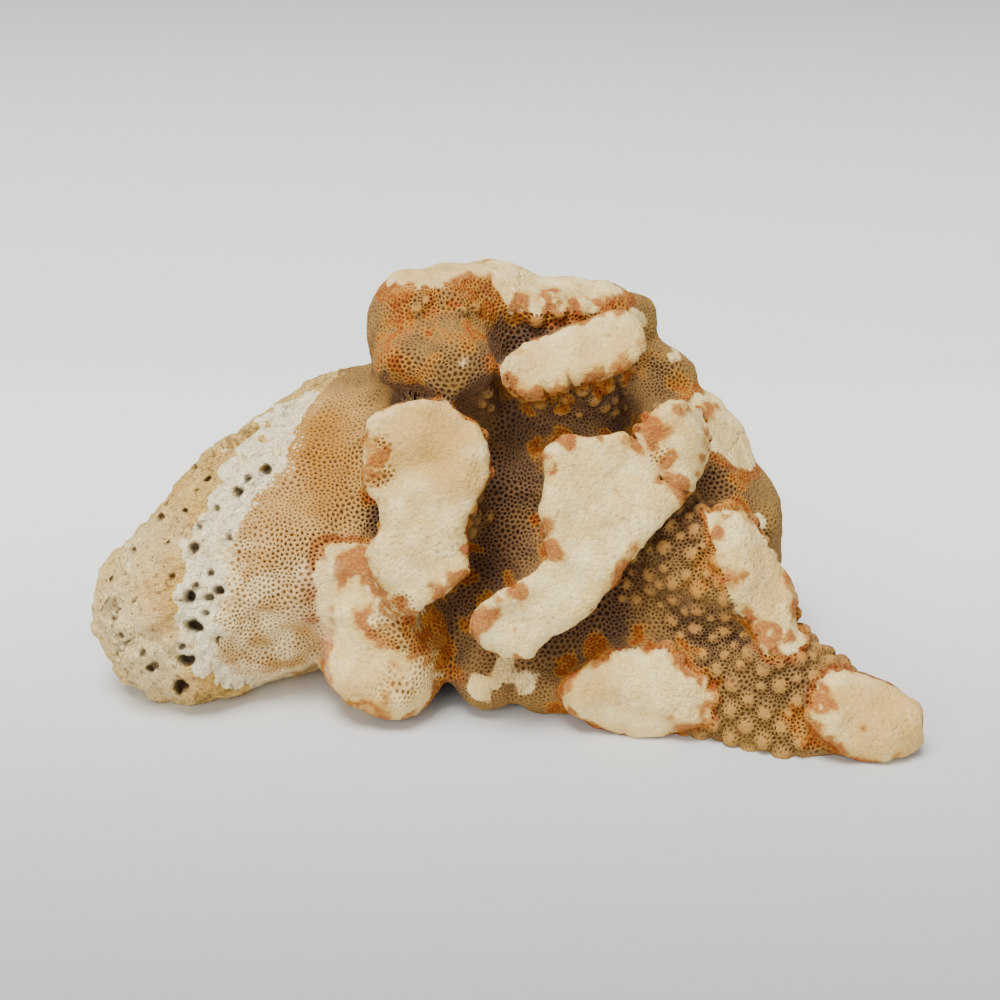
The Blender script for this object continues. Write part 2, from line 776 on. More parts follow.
RUST_SPOTS = (
    Spot(-23.3, 43.3, 2.6, 0.8), Spot(-22.7, 38.2, 2.4, 0.8), Spot(-8.5, 21.5, 2.6),
    Spot(-6.5, 25.5, 1.8), Spot(-26.0, 23.0, 2.4), Spot(-23.4, 19.7, 2.6), Spot(-19.5, 16.3, 2.6),
    Spot(-16.6, 13.6, 2.6), Spot(-25.0, 14.5, 2.8, 0.8), Spot(-22.4, 11.0, 2.8, 0.9),
    Spot(-18.6, 8.6, 2.8, 0.9), Spot(-15.5, 10.5, 2.6), Spot(-18.3, 67.5, 3.4, 0.8),
    Spot(-13.1, 67.0, 3.2, 0.9), Spot(-8.8, 68.8, 3.0, 0.8), Spot(-4.4, 66.6, 3.0, 0.7),
    Spot(-20.1, 61.9, 3.0, 0.6), Spot(-18.3, 56.6, 3.0, 0.7), Spot(-8.8, 60.1, 3.0, 0.5),
    Spot(1.7, 68.0, 2.8, 0.9), Spot(6.9, 68.2, 2.8), Spot(12.1, 68.2, 2.8), Spot(17.0, 67.5, 2.8, 0.9),
    Spot(0.2, 54.0, 2.4), Spot(3.8, 51.4, 2.6), Spot(8.6, 52.0, 2.6), Spot(13.9, 54.0, 2.4),
    Spot(18.6, 55.8, 2.4), Spot(5.2, 42.8, 2.2), Spot(8.6, 44.6, 2.0), Spot(6.2, 39.4, 1.6),
    Spot(4.6, 30.0, 2.0), Spot(6.6, 25.6, 2.4), Spot(1.0, 19.4, 2.0), Spot(-3.9, 15.2, 2.4),
    Spot(-6.2, 12.2, 2.4), Spot(16.0, 45.4, 1.6), Spot(24.6, 44.6, 2.6), Spot(25.8, 40.4, 2.6),
    Spot(27.4, 36.4, 2.4), Spot(22.4, 46.8, 2.4), Spot(9.4, 5.8, 2.4), Spot(14.8, 9.0, 2.6),
    Spot(22.2, 10.2, 2.6), Spot(29.3, 8.0, 2.4), Spot(33.0, 3.4, 2.4), Spot(8.0, -1.3, 2.2),
    Spot(12.8, -5.0, 2.0), Spot(50.0, -4.7, 2.6), Spot(51.8, 1.6, 2.4), Spot(47.0, -2.0, 3.0, 0.6),
    Spot(34.0, 28.0, 2.4, 0.8), Spot(36.6, 21.0, 2.2, 0.8), Spot(38.8, 14.4, 2.2, 0.9),
    Spot(33.0, 22.0, 4.0, 0.5), Spot(-34.0, 44.0, 6.0, 0.35), Spot(-30.5, 38.0, 5.0, 0.3),
    Spot(24.0, 60.0, 3.0, 0.5), Spot(31.0, 55.0, 3.0, 0.5), Spot(-25.3, 23.6, 2.2),
    Spot(-21.8, 42.0, 2.4, 0.9), Spot(-24.4, 34.6, 1.8, 0.9), Spot(-19.0, 64.0, 3.6, 0.7),
    Spot(-20.6, 58.5, 3.0, 0.7), Spot(-12.5, 62.5, 3.0, 0.6), Spot(-6.4, 62.0, 2.6, 0.6),
    Spot(-14.0, 56.0, 2.4, 0.5), Spot(-12.0, 18.6, 2.4, 0.8), Spot(-9.5, 22.0, 2.2, 0.8),
    Spot(-14.0, 12.0, 2.8, 0.7), Spot(-13.2, 6.0, 2.4, 0.6), Spot(-18.0, 11.0, 2.4, 0.7),
    Spot(28.2, 49.0, 2.0, 0.7), Spot(31.4, 40.0, 1.8, 0.7), Spot(42.0, 12.0, 2.4, 0.8),
    Spot(40.0, 33.0, 2.6, 0.7), Spot(36.0, 50.0, 2.4, 0.8), Spot(33.5, 44.0, 2.0, 0.6),
    Spot(41.5, 38.5, 2.4, 0.7),
)
DEEP_SPOTS = (
    Spot(0.0, 37.4, 7.0), Spot(-1.0, 26.0, 6.5), Spot(1.6, 46.5, 6.0), Spot(-2.0, 57.0, 5.0, 0.7),
    Spot(-1.0, 64.0, 4.0, 0.6), Spot(12.0, 48.0, 6.0, 0.8), Spot(18.4, 12.1, 7.0, 0.35),
    Spot(31.9, 8.8, 6.0, 0.8), Spot(38.6, 34.0, 7.0, 0.7), Spot(26.8, 54.2, 5.0, 0.6),
    Spot(44.0, 4.0, 7.0, 0.6), Spot(28.0, 26.0, 6.0, 0.5), Spot(-10.0, 14.0, 3.5, 0.9),
    Spot(-28.0, 54.0, 5.0, 0.5), Spot(-24.2, 32.4, 2.6, 1.0), Spot(-3.0, 33.0, 5.0),
    Spot(8.0, 12.0, 3.0, 0.9), Spot(-16.0, 61.0, 9.0, 0.4),
)
CREAM_SPOTS = (
    Spot(37.6, 45.5, 3.6, 0.9), Spot(43.8, 30.3, 2.2, 0.9), Spot(29.5, 60.4, 2.4, 0.6),
    Spot(-5.5, 1.5, 3.2, 0.8), Spot(-1.5, 4.0, 3.4, 0.8), Spot(1.8, 3.4, 2.8, 0.7),
    Spot(-27.5, 8.0, 5.0, 0.75), Spot(-24.0, 0.5, 5.5, 0.8), Spot(-18.0, -1.0, 5.0, 0.8),
    Spot(-27.5, 19.5, 3.0, 0.7), Spot(-9.2, 57.6, 2.6, 0.35), Spot(22.6, 65.8, 2.6, 0.7),
)

# Where pits are left on worn places, and where the saddle is dusty.
PITTED_SPOTS = (
    Spot(-18.5, 17.0, 3.0, 0.9), Spot(-15.5, 12.0, 3.6, 0.9), Spot(-19.5, 10.5, 3.4, 0.8),
    Spot(-13.5, 6.0, 3.2, 0.8), Spot(-22.5, 20.5, 2.2, 0.8), Spot(-20.0, 3.0, 5.0, 0.45),
    Spot(-21.4, 38.0, 3.2, 0.8), Spot(24.5, 41.5, 2.6, 0.7), Spot(-21.0, 43.0, 2.8, 0.8),
    Spot(-16.4, 10.8, 4.2, 0.95), Spot(-14.0, 6.0, 4.0, 0.95), Spot(-20.6, 12.8, 3.2, 0.9),
    Spot(-12.0, 14.0, 3.2, 0.95), Spot(-17.6, 2.0, 3.4, 0.7), Spot(-10.0, 33.0, 3.0, 0.3),
    Spot(20.0, 3.0, 5.0, 0.3),
)
PALE_SPOTS = (
    Spot(-44.0, 22.0, 6.0, 0.7), Spot(-42.0, 12.0, 7.0, 0.85), Spot(-38.0, 3.0, 7.0, 0.8),
    Spot(-34.0, 20.0, 5.0, 0.5), Spot(-35.0, 12.0, 6.0, 0.5),
)
LIT_SPOTS = (
    Spot(-2.0, 4.0, 10.0), Spot(4.0, 1.0, 8.0), Spot(29.0, 22.0, 9.0, 0.8), Spot(42.0, 2.0, 8.0, 0.6),
)

# Where chalk still clings to the bare base, and the small pores of its front: across, up and radius.
CHALK_SPOTS = (
    Spot(-36.5, 49.5, 5.0), Spot(-39.3, 47.1, 4.8), Spot(-42.3, 43.6, 5.2), Spot(-38.4, 41.9, 4.2),
    Spot(-46.3, 39.2, 4.6), Spot(-47.2, 34.9, 4.0), Spot(-44.0, 36.0, 4.0), Spot(-49.8, 33.1, 2.4),
    Spot(-50.7, 27.9, 4.4), Spot(-47.0, 29.0, 4.0), Spot(-53.3, 26.1, 3.2), Spot(-49.8, 23.5, 4.4),
    Spot(-52.1, 20.9, 4.0), Spot(-49.8, 18.3, 4.6), Spot(-52.4, 15.5, 3.6), Spot(-51.8, 12.1, 4.0),
    Spot(-49.3, 9.4, 5.0), Spot(-53.3, 7.0, 3.4), Spot(-47.6, 5.5, 4.4), Spot(-44.6, 3.2, 3.6),
)
PORES = (
    (-47.7, 27.5, 0.6), (-60.3, 33.1, 0.6), (-53.3, 29.3, 0.5), (-54.5, 35.7, 0.5), (-55.9, 31.9, 0.6),
    (-61.1, 30.9, 0.7), (-69.3, 20.4, 0.6), (-62.5, 8.2, 0.6), (-61.1, 5.6, 0.8), (-50.1, 32.6, 0.5),
    (-53.3, 19.2, 0.7), (-51.0, 17.4, 0.7), (-52.8, 38.0, 0.7), (-46.8, 35.4, 0.8), (-45.1, 37.5, 0.6),
    (-51.6, 14.8, 0.6), (-57.5, 21.0, 0.5), (-55.6, 9.4, 0.7), (-50.8, 21.6, 0.6), (-64.8, 25.2, 0.5),
    (-58.6, 26.6, 0.5), (-66.2, 11.0, 0.5), (-57.0, 40.2, 0.6), (-49.0, 42.6, 0.5),
)

# Where the base is stained yellow, and where it is greyer.
BASE_SPOTS = (
    Spot(-58.5, 17.0, 6.0, 0.8), Spot(-46.0, 3.0, 6.0, 0.8), Spot(-50.0, 40.0, 7.0, 0.7),
    Spot(-56.0, 34.0, 7.0, 0.5), Spot(-54.0, 3.0, 4.0, 0.7), Spot(-61.0, 24.0, 5.0, 0.4),
)
DUSTY_SPOTS = (
    Spot(-66.0, 14.0, 9.0), Spot(-62.0, 6.0, 8.0), Spot(-64.0, 25.0, 7.0, 0.7),
    Spot(-56.0, 10.0, 6.0, 0.6), Spot(-58.0, 28.0, 5.0, 0.5),
)

# Where the worn cream turns yellowish, and the saddle orange.
YELLOW_SPOTS = (
    Spot(-13.0, 44.0, 9.0), Spot(-9.0, 38.0, 6.0, 0.8), Spot(-20.0, 41.0, 5.0), Spot(-33.0, 44.0, 7.0),
    Spot(-31.0, 36.0, 6.0, 0.8), Spot(14.0, 3.0, 5.0, 0.6), Spot(57.0, 0.0, 6.0, 0.7),
    Spot(64.0, -5.0, 6.0, 0.8), Spot(44.0, 24.0, 4.0, 0.5), Spot(-20.0, 6.0, 7.0, 0.5),
    Spot(-26.0, -1.0, 6.0, 0.7), Spot(24.0, 46.0, 5.0, 0.6), Spot(5.0, 56.0, 6.0, 0.5),
    Spot(16.0, 60.0, 7.0, 0.4), Spot(43.0, 20.0, 7.0, 0.5), Spot(61.0, -2.0, 9.0, 0.8),
    Spot(-14.0, 74.0, 8.0, 0.6),
)


def worn_depth(places: np.ndarray) -> np.ndarray:
    """How far places stand below or beside the worn faces, without a jump at their edges.

    Args:
        places: Face places, one row each.

    Returns:
        The distances in millimetres.
    """
    across, up, out = places.T
    lowest = np.full(len(places), 9.0)
    for cap in CAPS:
        beside = 1.5 * np.maximum(outline_distance(across, up, cap.outline) - 0.6, 0.0)
        for plane in cap.worn:
            lowest = np.minimum(lowest, beside - plane_distance(across, up, out, plane))
    for lobe in LOBES:
        beside = 1.5 * np.maximum(chain_distance(across, up, out, lobe.balls) - 0.8, 0.0)
        for plane in lobe.worn:
            lowest = np.minimum(lowest, beside - plane_distance(across, up, out, plane))
    return lowest


def brink_gap(places: np.ndarray) -> np.ndarray:
    """The distance on the face from places to the nearest outline of a worn branch end, in millimetres."""
    gaps = [outline_distance(places[:, 0], places[:, 1], cap.outline) for cap in CAPS]
    return np.min(np.abs(gaps), axis=0)


def spot_mask(places: np.ndarray, spots: tuple[Spot, ...]) -> np.ndarray:
    """How strongly soft patches cover some places.

    Args:
        places: Face places, one row each, in millimetres.
        spots: The patches.

    Returns:
        A strength from 0 to 1 for each place.
    """
    total = np.zeros(len(places))
    across = places[:, 0] + point_waves(places, (5.0, 1.0, 71))
    up = places[:, 1] + point_waves(places, (5.0, 1.0, 72))
    for spot in spots:
        far = np.hypot(across - spot.across, up - spot.up) / spot.radius
        total = np.maximum(total, spot.strength * smooth_step(1.35, 0.35, far))
    return total


def smooth_step(low: float, high: float, value: np.ndarray) -> np.ndarray:
    """A smooth change from 0 at low to 1 at high."""
    t = np.clip((value - low) / (high - low), 0.0, 1.0)
    return t * t * (3.0 - 2.0 * t)


def point_waves(places: np.ndarray, kind: tuple[float, float, int]) -> np.ndarray:
    """Smooth random unevenness at some face places."""
    return waves(places[:, 0], places[:, 1], places[:, 2], kind)


def corners_of(mesh: bpy.types.Mesh) -> np.ndarray:
    """The mesh's corners as an array.

    Args:
        mesh: The mesh.

    Returns:
        The corners, one row each.
    """
    flat = np.empty(len(mesh.vertices) * 3, np.float32)
    mesh.vertices.foreach_get("co", flat)
    return flat.reshape(-1, 3).astype(float)


def to_row(places: np.ndarray) -> np.ndarray:
    """Face places in millimetres turned into the row frame, in metres.

    Args:
        places: Face places, one row each.

    Returns:
        The same places as x, y and z, none of them below the table.
    """
    across, up, out = places.T
    lean, rise = math.sin(FACE_LEAN), math.cos(FACE_LEAN)
    back = up * lean - out * rise + CENTRE[1]
    height = np.maximum(up * rise + out * lean - TABLE_HEIGHT, 0.0)
    return np.stack([across + CENTRE[0], back, height], axis=-1) * MM


def to_face(places: np.ndarray) -> np.ndarray:
    """Places in the row frame turned into face places.

    Args:
        places: The places in metres, one row each.

    Returns:
        The same places in millimetres, as across, up and out.
    """
    x, y, z = (places / MM - (CENTRE[0], CENTRE[1], -TABLE_HEIGHT)).T
    lean, rise = math.sin(FACE_LEAN), math.cos(FACE_LEAN)
    return np.stack([x, y * lean + z * rise, z * lean - y * rise], axis=-1)


def settle(places: np.ndarray, field: Field, rounds: int) -> np.ndarray:
    """Moves places onto the head's surface.

    Args:
        places: Face places, one row each.
        field: The head's shape.
        rounds: How many steps they take.

    Returns:
        The places moved.
    """
    for _ in range(rounds):
        height = np.clip(field.at(places), -LONGEST_STEP, LONGEST_STEP)
        places = places - height[:, None] * field.slope(places)
    return places


def crust_side(places: np.ndarray) -> np.ndarray:
    """How far places lie within the crown's crust, in millimetres: less than 0 on the bare base.

    Args:
        places: Face places.

    Returns:
        The distances from the crust's ragged edge.
    """
    bulge = 3.6 * np.exp(-(((places[:, 1] - 27.0) / 9.0) ** 2)) - 5.0 * smooth_step(9.0, 0.0, places[:, 1])
    bulge += 2.0 * smooth_step(38.0, 46.0, places[:, 1])
    ragged = point_waves(places, (7.0, 0.9, 51)) + point_waves(places, (2.6, 0.5, 52))
    return fork_side(places, FORKS[0]) + bulge + ragged


def fork_side(places: np.ndarray, plane: Plane) -> np.ndarray:
    """The signed height of places above a fork's plane."""
    return plane_distance(places[:, 0], places[:, 1], places[:, 2], plane)


def wart_relief(places: np.ndarray, warts: list) -> tuple[np.ndarray, np.ndarray]:
    """How far warts raise some places, in millimetres, and how near the places are to the warts' tips.

    Args:
        places: Face places on the surface.
        warts: The warts' centres and radii.

    Returns:
        The height of each place above the bare surface, and 1 on a tip falling to 0 at a wart's foot.
    """
    rise, tip = np.zeros(len(places)), np.zeros(len(places))
    for centre, radius in warts:
        near = np.flatnonzero(np.abs(places - centre).max(axis=1) < radius * WART_SPREAD)
        far = np.linalg.norm(places[near] - centre, axis=1) / (radius * WART_SPREAD)
        round_top = np.clip(1.0 - far * far, 0.0, 1.0) ** 0.7
        rise[near] = np.maximum(rise[near], radius * WART_HEIGHT * round_top)
        tip[near] = np.maximum(tip[near], np.clip(1.0 - far, 0.0, 1.0))
    return rise, tip


class Skin:
    """The head's fine surface, from which both the bare base and the crown's cells are made."""

    def __init__(self, field: Field):
        """Makes the rough skin.

        Args:
            field: The head's shape.
        """
        self.field = field
        mesh = remeshed(ball_stack(), FIRST_VOXEL)
        places = settle(corners_of(mesh), field, FIRST_STEPS)
        mesh.vertices.foreach_set("co", places.astype(np.float32).ravel())
        self.rough = mesh

    def fine(self, voxel: float, rounds: int) -> tuple[np.ndarray, np.ndarray]:
        """An even fine skin.

        Args:
            voxel: Its spacing, in millimetres.
            rounds: How often its corners are moved to the surface.

        Returns:
            Its corners as face places, and its four-sided faces.
        """
        mesh = remeshed(self.rough.copy(), voxel)
        places = settle(corners_of(mesh), self.field, rounds)
        loops = np.empty(len(mesh.loops), np.int32)
        mesh.loops.foreach_get("vertex_index", loops)
        return places, loops.reshape(-1, 4)


def whole_mesh(name: str, places: np.ndarray, faces: np.ndarray) -> bpy.types.Mesh:
    """A mesh from arrays.

    Args:
        name: The mesh's name.
        places: Its corners in the row frame, in metres.
        faces: Its faces, all with the same number of corners.

    Returns:
        The mesh, shaded smooth.
    """
    mesh = bpy.data.meshes.new(name)
    sides = faces.shape[1]
    mesh.vertices.add(len(places))
    mesh.vertices.foreach_set("co", places.astype(np.float32).ravel())
    mesh.loops.add(faces.size)
    mesh.loops.foreach_set("vertex_index", faces.astype(np.int32).ravel())
    mesh.polygons.add(len(faces))
    mesh.polygons.foreach_set("loop_start", np.arange(0, faces.size, sides, dtype=np.int32))
    mesh.update(calc_edges=True)
    mesh.validate()
    mesh.shade_smooth()
    return mesh


def store(mesh: bpy.types.Mesh, name: str, values: np.ndarray, kind: str = "FLOAT") -> None:
    """Stores a value on each corner of a mesh."""
    layer = mesh.attributes.new(name, kind, "POINT")
    layer.data.foreach_set("value", values.astype(np.int32 if kind == "INT" else np.float32))


def only_used(places: np.ndarray, faces: np.ndarray, keep: np.ndarray) -> tuple[np.ndarray, np.ndarray]:
    """The faces whose corners are all kept, renumbered, with the corners that they use.

    Args:
        places: The corners.
        faces: The faces.
        keep: Whether each corner is kept.

    Returns:
        The corners left and the faces left.
    """
    faces = faces[keep[faces].all(axis=1)]
    used = np.unique(faces)
    number = np.full(len(places), -1)
    number[used] = np.arange(len(used))
    return places[used], number[faces]


class Cells:
    """The crown's skin as an even net of triangles, one corner for each cup."""

    def __init__(self, skin: Skin, spacing: float, voxel: float, seed: int = 11):
        """Spreads the cups evenly over the crown and joins neighbours.

        Args:
            skin: The head's fine surface.
            spacing: The distance between cups, in millimetres.
            voxel: The spacing of the fine skin that the cups share out.
            seed: The seed of the first scatter.
        """
        places, faces = skin.fine(voxel, 2)
        keep = crust_side(places) > -3.0 * spacing
        places, faces = only_used(places, faces, keep)
        self.warts = [
            (centre, radius) for centre, radius in wart_places(skin.field)
            if centre[1] < 50.0 or skin.field.slope(centre[None])[0, 1] < 0.25
        ]
        tops = np.array([centre for centre, _ in self.warts])
        apart = self.nearest(places, tops)
        gaps = np.linalg.norm(places - tops[apart], axis=1)
        crowded = 1.0 + (WART_CUPS - 1.0) * smooth_step(3.2, 1.8, gaps)
        count = int(crowded.sum() * voxel * voxel * 1.12 / (0.866 * spacing * spacing))
        chance = np.random.default_rng(seed)
        chosen = chance.choice(len(places), count, replace=False, p=crowded / crowded.sum())
        centres = places[chosen]
        weight = crowded**2
        for _ in range(RELAX_ROUNDS):
            label = self.nearest(places, centres)
            sizes = np.bincount(label, weight, count)
            middle = np.stack([np.bincount(label, places[:, i] * weight, count) for i in range(3)], axis=1)
            centres = np.where(sizes[:, None] > 0, middle / np.maximum(sizes, 1e-9)[:, None], centres)
        label = self.gathered(self.nearest(places, centres), faces)
        self.centres = settle(centres, skin.field, 2)
        self.triangles = self.joined(label[faces])
        log.info("cells: %d cups, %d triangles from %d corners", count, len(self.triangles), len(places))

    @staticmethod
    def gathered(label: np.ndarray, faces: np.ndarray) -> np.ndarray:
        """Makes each cup's share of the skin one patch, giving stray corners to a neighbour's cup.

        Args:
            label: The cup of each corner.
            faces: The skin's four-sided faces.

        Returns:
            The cup of each corner, with each cup's corners joined.
        """
        ends = np.concatenate([faces[:, (i, (i + 1) % 4)] for i in range(4)])
        label = label.copy()
        for _ in range(3):
            group = np.arange(len(label))
            same = ends[label[ends[:, 0]] == label[ends[:, 1]]]
            for _ in range(16):
                np.minimum.at(group, same[:, 0], group[same[:, 1]])
                np.minimum.at(group, same[:, 1], group[same[:, 0]])
            size = np.bincount(group, minlength=len(label))[group]
            biggest = np.zeros(label.max() + 1, int)
            np.maximum.at(biggest, label, size)
            stray = size < biggest[label]
            if not stray.any():
                break
            links = ends[stray[ends[:, 0]] & ~stray[ends[:, 1]]]
            label[links[:, 0]] = label[links[:, 1]]
        return label

    @staticmethod
    def nearest(places: np.ndarray, centres: np.ndarray) -> np.ndarray:
        """Finds the centre nearest to each place.

        Args:
            places: The places.
            centres: The centres.

        Returns:
            The number of each place's centre.
        """
        tree = KDTree(len(centres))
        for i, centre in enumerate(centres.tolist()):
            tree.insert(centre, i)
        tree.balance()
        find = tree.find
        return np.fromiter((find(place)[1] for place in places.tolist()), np.int64, len(places))

    @staticmethod
    def joined(labels: np.ndarray) -> np.ndarray:
        """The triangles between cups whose shares of the skin meet at one corner.

        Args:
            labels: The cup of each corner of each four-sided face.

        Returns:
            The triangles, each once.
        """
        halves = np.concatenate([labels[:, (0, 1, 2)], labels[:, (0, 2, 3)]])
        a, b, c = halves.T
        halves = halves[(a != b) & (b != c) & (a != c)]
        first = halves.argmin(axis=1)
        rows = np.arange(len(halves))
        turned = np.stack([halves[rows, (first + k) % 3] for k in range(3)], axis=1)
        turned = np.unique(turned, axis=0)
        order = np.sort(turned, axis=1)
        _, back, times = np.unique(order, axis=0, return_inverse=True, return_counts=True)
        return turned[times[back.ravel()] == 1]


def mend(mesh: bpy.types.Mesh, most_sides: int = 120) -> None:
    """Takes out net triangles where more than two share an edge, and closes the small holes.

    Args:
        mesh: The net.
        most_sides: The longest hole that is closed.
    """
    made = bmesh.new()
    made.from_mesh(mesh)
    crowded = {face for edge in made.edges if len(edge.link_faces) > 2 for face in edge.link_faces}
    bmesh.ops.delete(made, geom=list(crowded), context="FACES_ONLY")
    loose = [edge for edge in made.edges if not edge.link_faces]
    bmesh.ops.delete(made, geom=loose, context="EDGES")
    rims = [edge for edge in made.edges if edge.is_boundary]
    filled = bmesh.ops.holes_fill(made, edges=rims, sides=most_sides)
    bmesh.ops.triangulate(made, faces=filled["faces"])
    bmesh.ops.recalc_face_normals(made, faces=made.faces)
    log.info("net: %d crowded faces, %d rim edges, %d holes", len(crowded), len(rims), len(filled["faces"]))
    made.to_mesh(mesh)
    made.free()


def branch_numbers(places: np.ndarray) -> np.ndarray:
    """Which branch of the crown each place belongs to, as the forks part it.

    Args:
        places: Face places, one row each.

    Returns:
        The number of each place's branch, or -1 for none.
    """
    names = [branch.value for branch in Branch]
    number = np.full(len(places), -1)

    def part(fork: Union[str, tuple], chosen: np.ndarray) -> None:
        """Gives the chosen places to the branches of a fork.

        Args:
            fork: A fork's plane with what is behind it and before it, or a branch's name.
            chosen: Whether each place is on this side of the forks so far.
        """
        if isinstance(fork, str):
            number[chosen] = names.index(fork) if fork in names else -1
            return
        plane, below, above = fork
        upper = (crust_side(places) if plane is FORKS[0] else fork_side(places, plane)) > 0
        part(below, chosen & ~upper)
        part(above, chosen & upper)

    part(FORKS, np.ones(len(places), bool))
    return number


@dataclass
class Look:
    """What the weather and the sea did to the crown, cell by cell. All are from 0 to 1."""

    worn: np.ndarray
    flat: np.ndarray
    rust: np.ndarray
    stain: np.ndarray
    deep: np.ndarray
    tan: np.ndarray
    chalk: np.ndarray
    sunny: np.ndarray

    @classmethod
    def of(cls, places: np.ndarray, field: Field) -> "Look":
        """Works out the look from the shape.

        Args:
            places: Face places on the surface.
            field: The head's shape.

        Returns:
            The masks.
        """
        slope = field.slope(places)
        front = smooth_step(-0.3, 0.2, slope[:, 2])
        open_air = np.clip(field.at(places + slope * REACH) / REACH, 0.0, 1.0)
        mottle = point_waves(places, (5.0, 1.0, 21))
        fine = point_waves(places, (2.2, 1.0, 22))
        broad = point_waves(places, (16.0, 1.0, 23))
        depth = worn_depth(places) + 0.4 * mottle + 0.35 * fine
        worn = smooth_step(2.6, 0.9, depth)
        cream = spot_mask(places, CREAM_SPOTS) * front
        back = smooth_step(0.35, 0.75, -slope[:, 2]) * smooth_step(-0.4, 0.5, broad + 0.6 * mottle) * 0.75
        cream = np.maximum(cream, back) + 0.18 * mottle + 0.12 * fine
        worn = np.maximum(worn, smooth_step(0.2, 0.8, cream))
        band = smooth_step(5.6, 2.4, depth) * smooth_step(-1.1, 0.1, mottle + 0.6 * broad)
        spots = spot_mask(places, RUST_SPOTS) * front
        stain = spots * smooth_step(-1.7, 0.1, mottle + 0.7 * fine)
        gap = brink_gap(places) + 0.5 * fine
        brink = 0.85 * smooth_step(2.4, 0.4, gap) * smooth_step(0.1, 1.3, broad + mottle + 0.4 * fine)
        stain = np.maximum(stain, brink * smooth_step(6.0, 4.0, depth))
        brim = smooth_step(0.4, 1.8, depth) * smooth_step(3.8, 2.2, depth)
        brim *= smooth_step(-0.3, 0.9, broad + 0.8 * mottle)
        stain = np.clip(np.maximum(stain, 0.6 * brim * front) + 0.08 * fine, 0.0, 1.0)
        rust = np.clip(np.maximum(band, stain), 0.0, 1.0)
        pitted = spot_mask(places, PITTED_SPOTS) * front
        flat = worn * (1.0 - pitted)
        worn = worn * (1.0 - 0.6 * pitted)
        deep = np.maximum(smooth_step(0.75, 0.35, open_air), spot_mask(places, DEEP_SPOTS) * front)
        deep = np.clip((deep + 0.12 * mottle) * (1.0 - 0.6 * spot_mask(places, LIT_SPOTS)), 0.0, 1.0)
        tan = smooth_step(-22.0, -28.0, places[:, 0] + 1.5 * mottle) * smooth_step(57.0, 50.0, places[:, 1])
        away = crust_side(places) + 1.5 * mottle + 1.0 * fine + 2.0 * broad
        low = np.maximum(smooth_step(34.0, 24.0, places[:, 1]), 1.0 - front)
        chalk = 0.8 * smooth_step(3.5, -0.5, away) * low
        sunny = spot_mask(places, YELLOW_SPOTS) * front
        chalk = np.maximum(chalk, spot_mask(places, PALE_SPOTS) * smooth_step(-0.8, 0.6, mottle))
        return cls(worn, flat, rust, stain, deep * (1.0 - 0.6 * tan), tan, chalk, sunny)


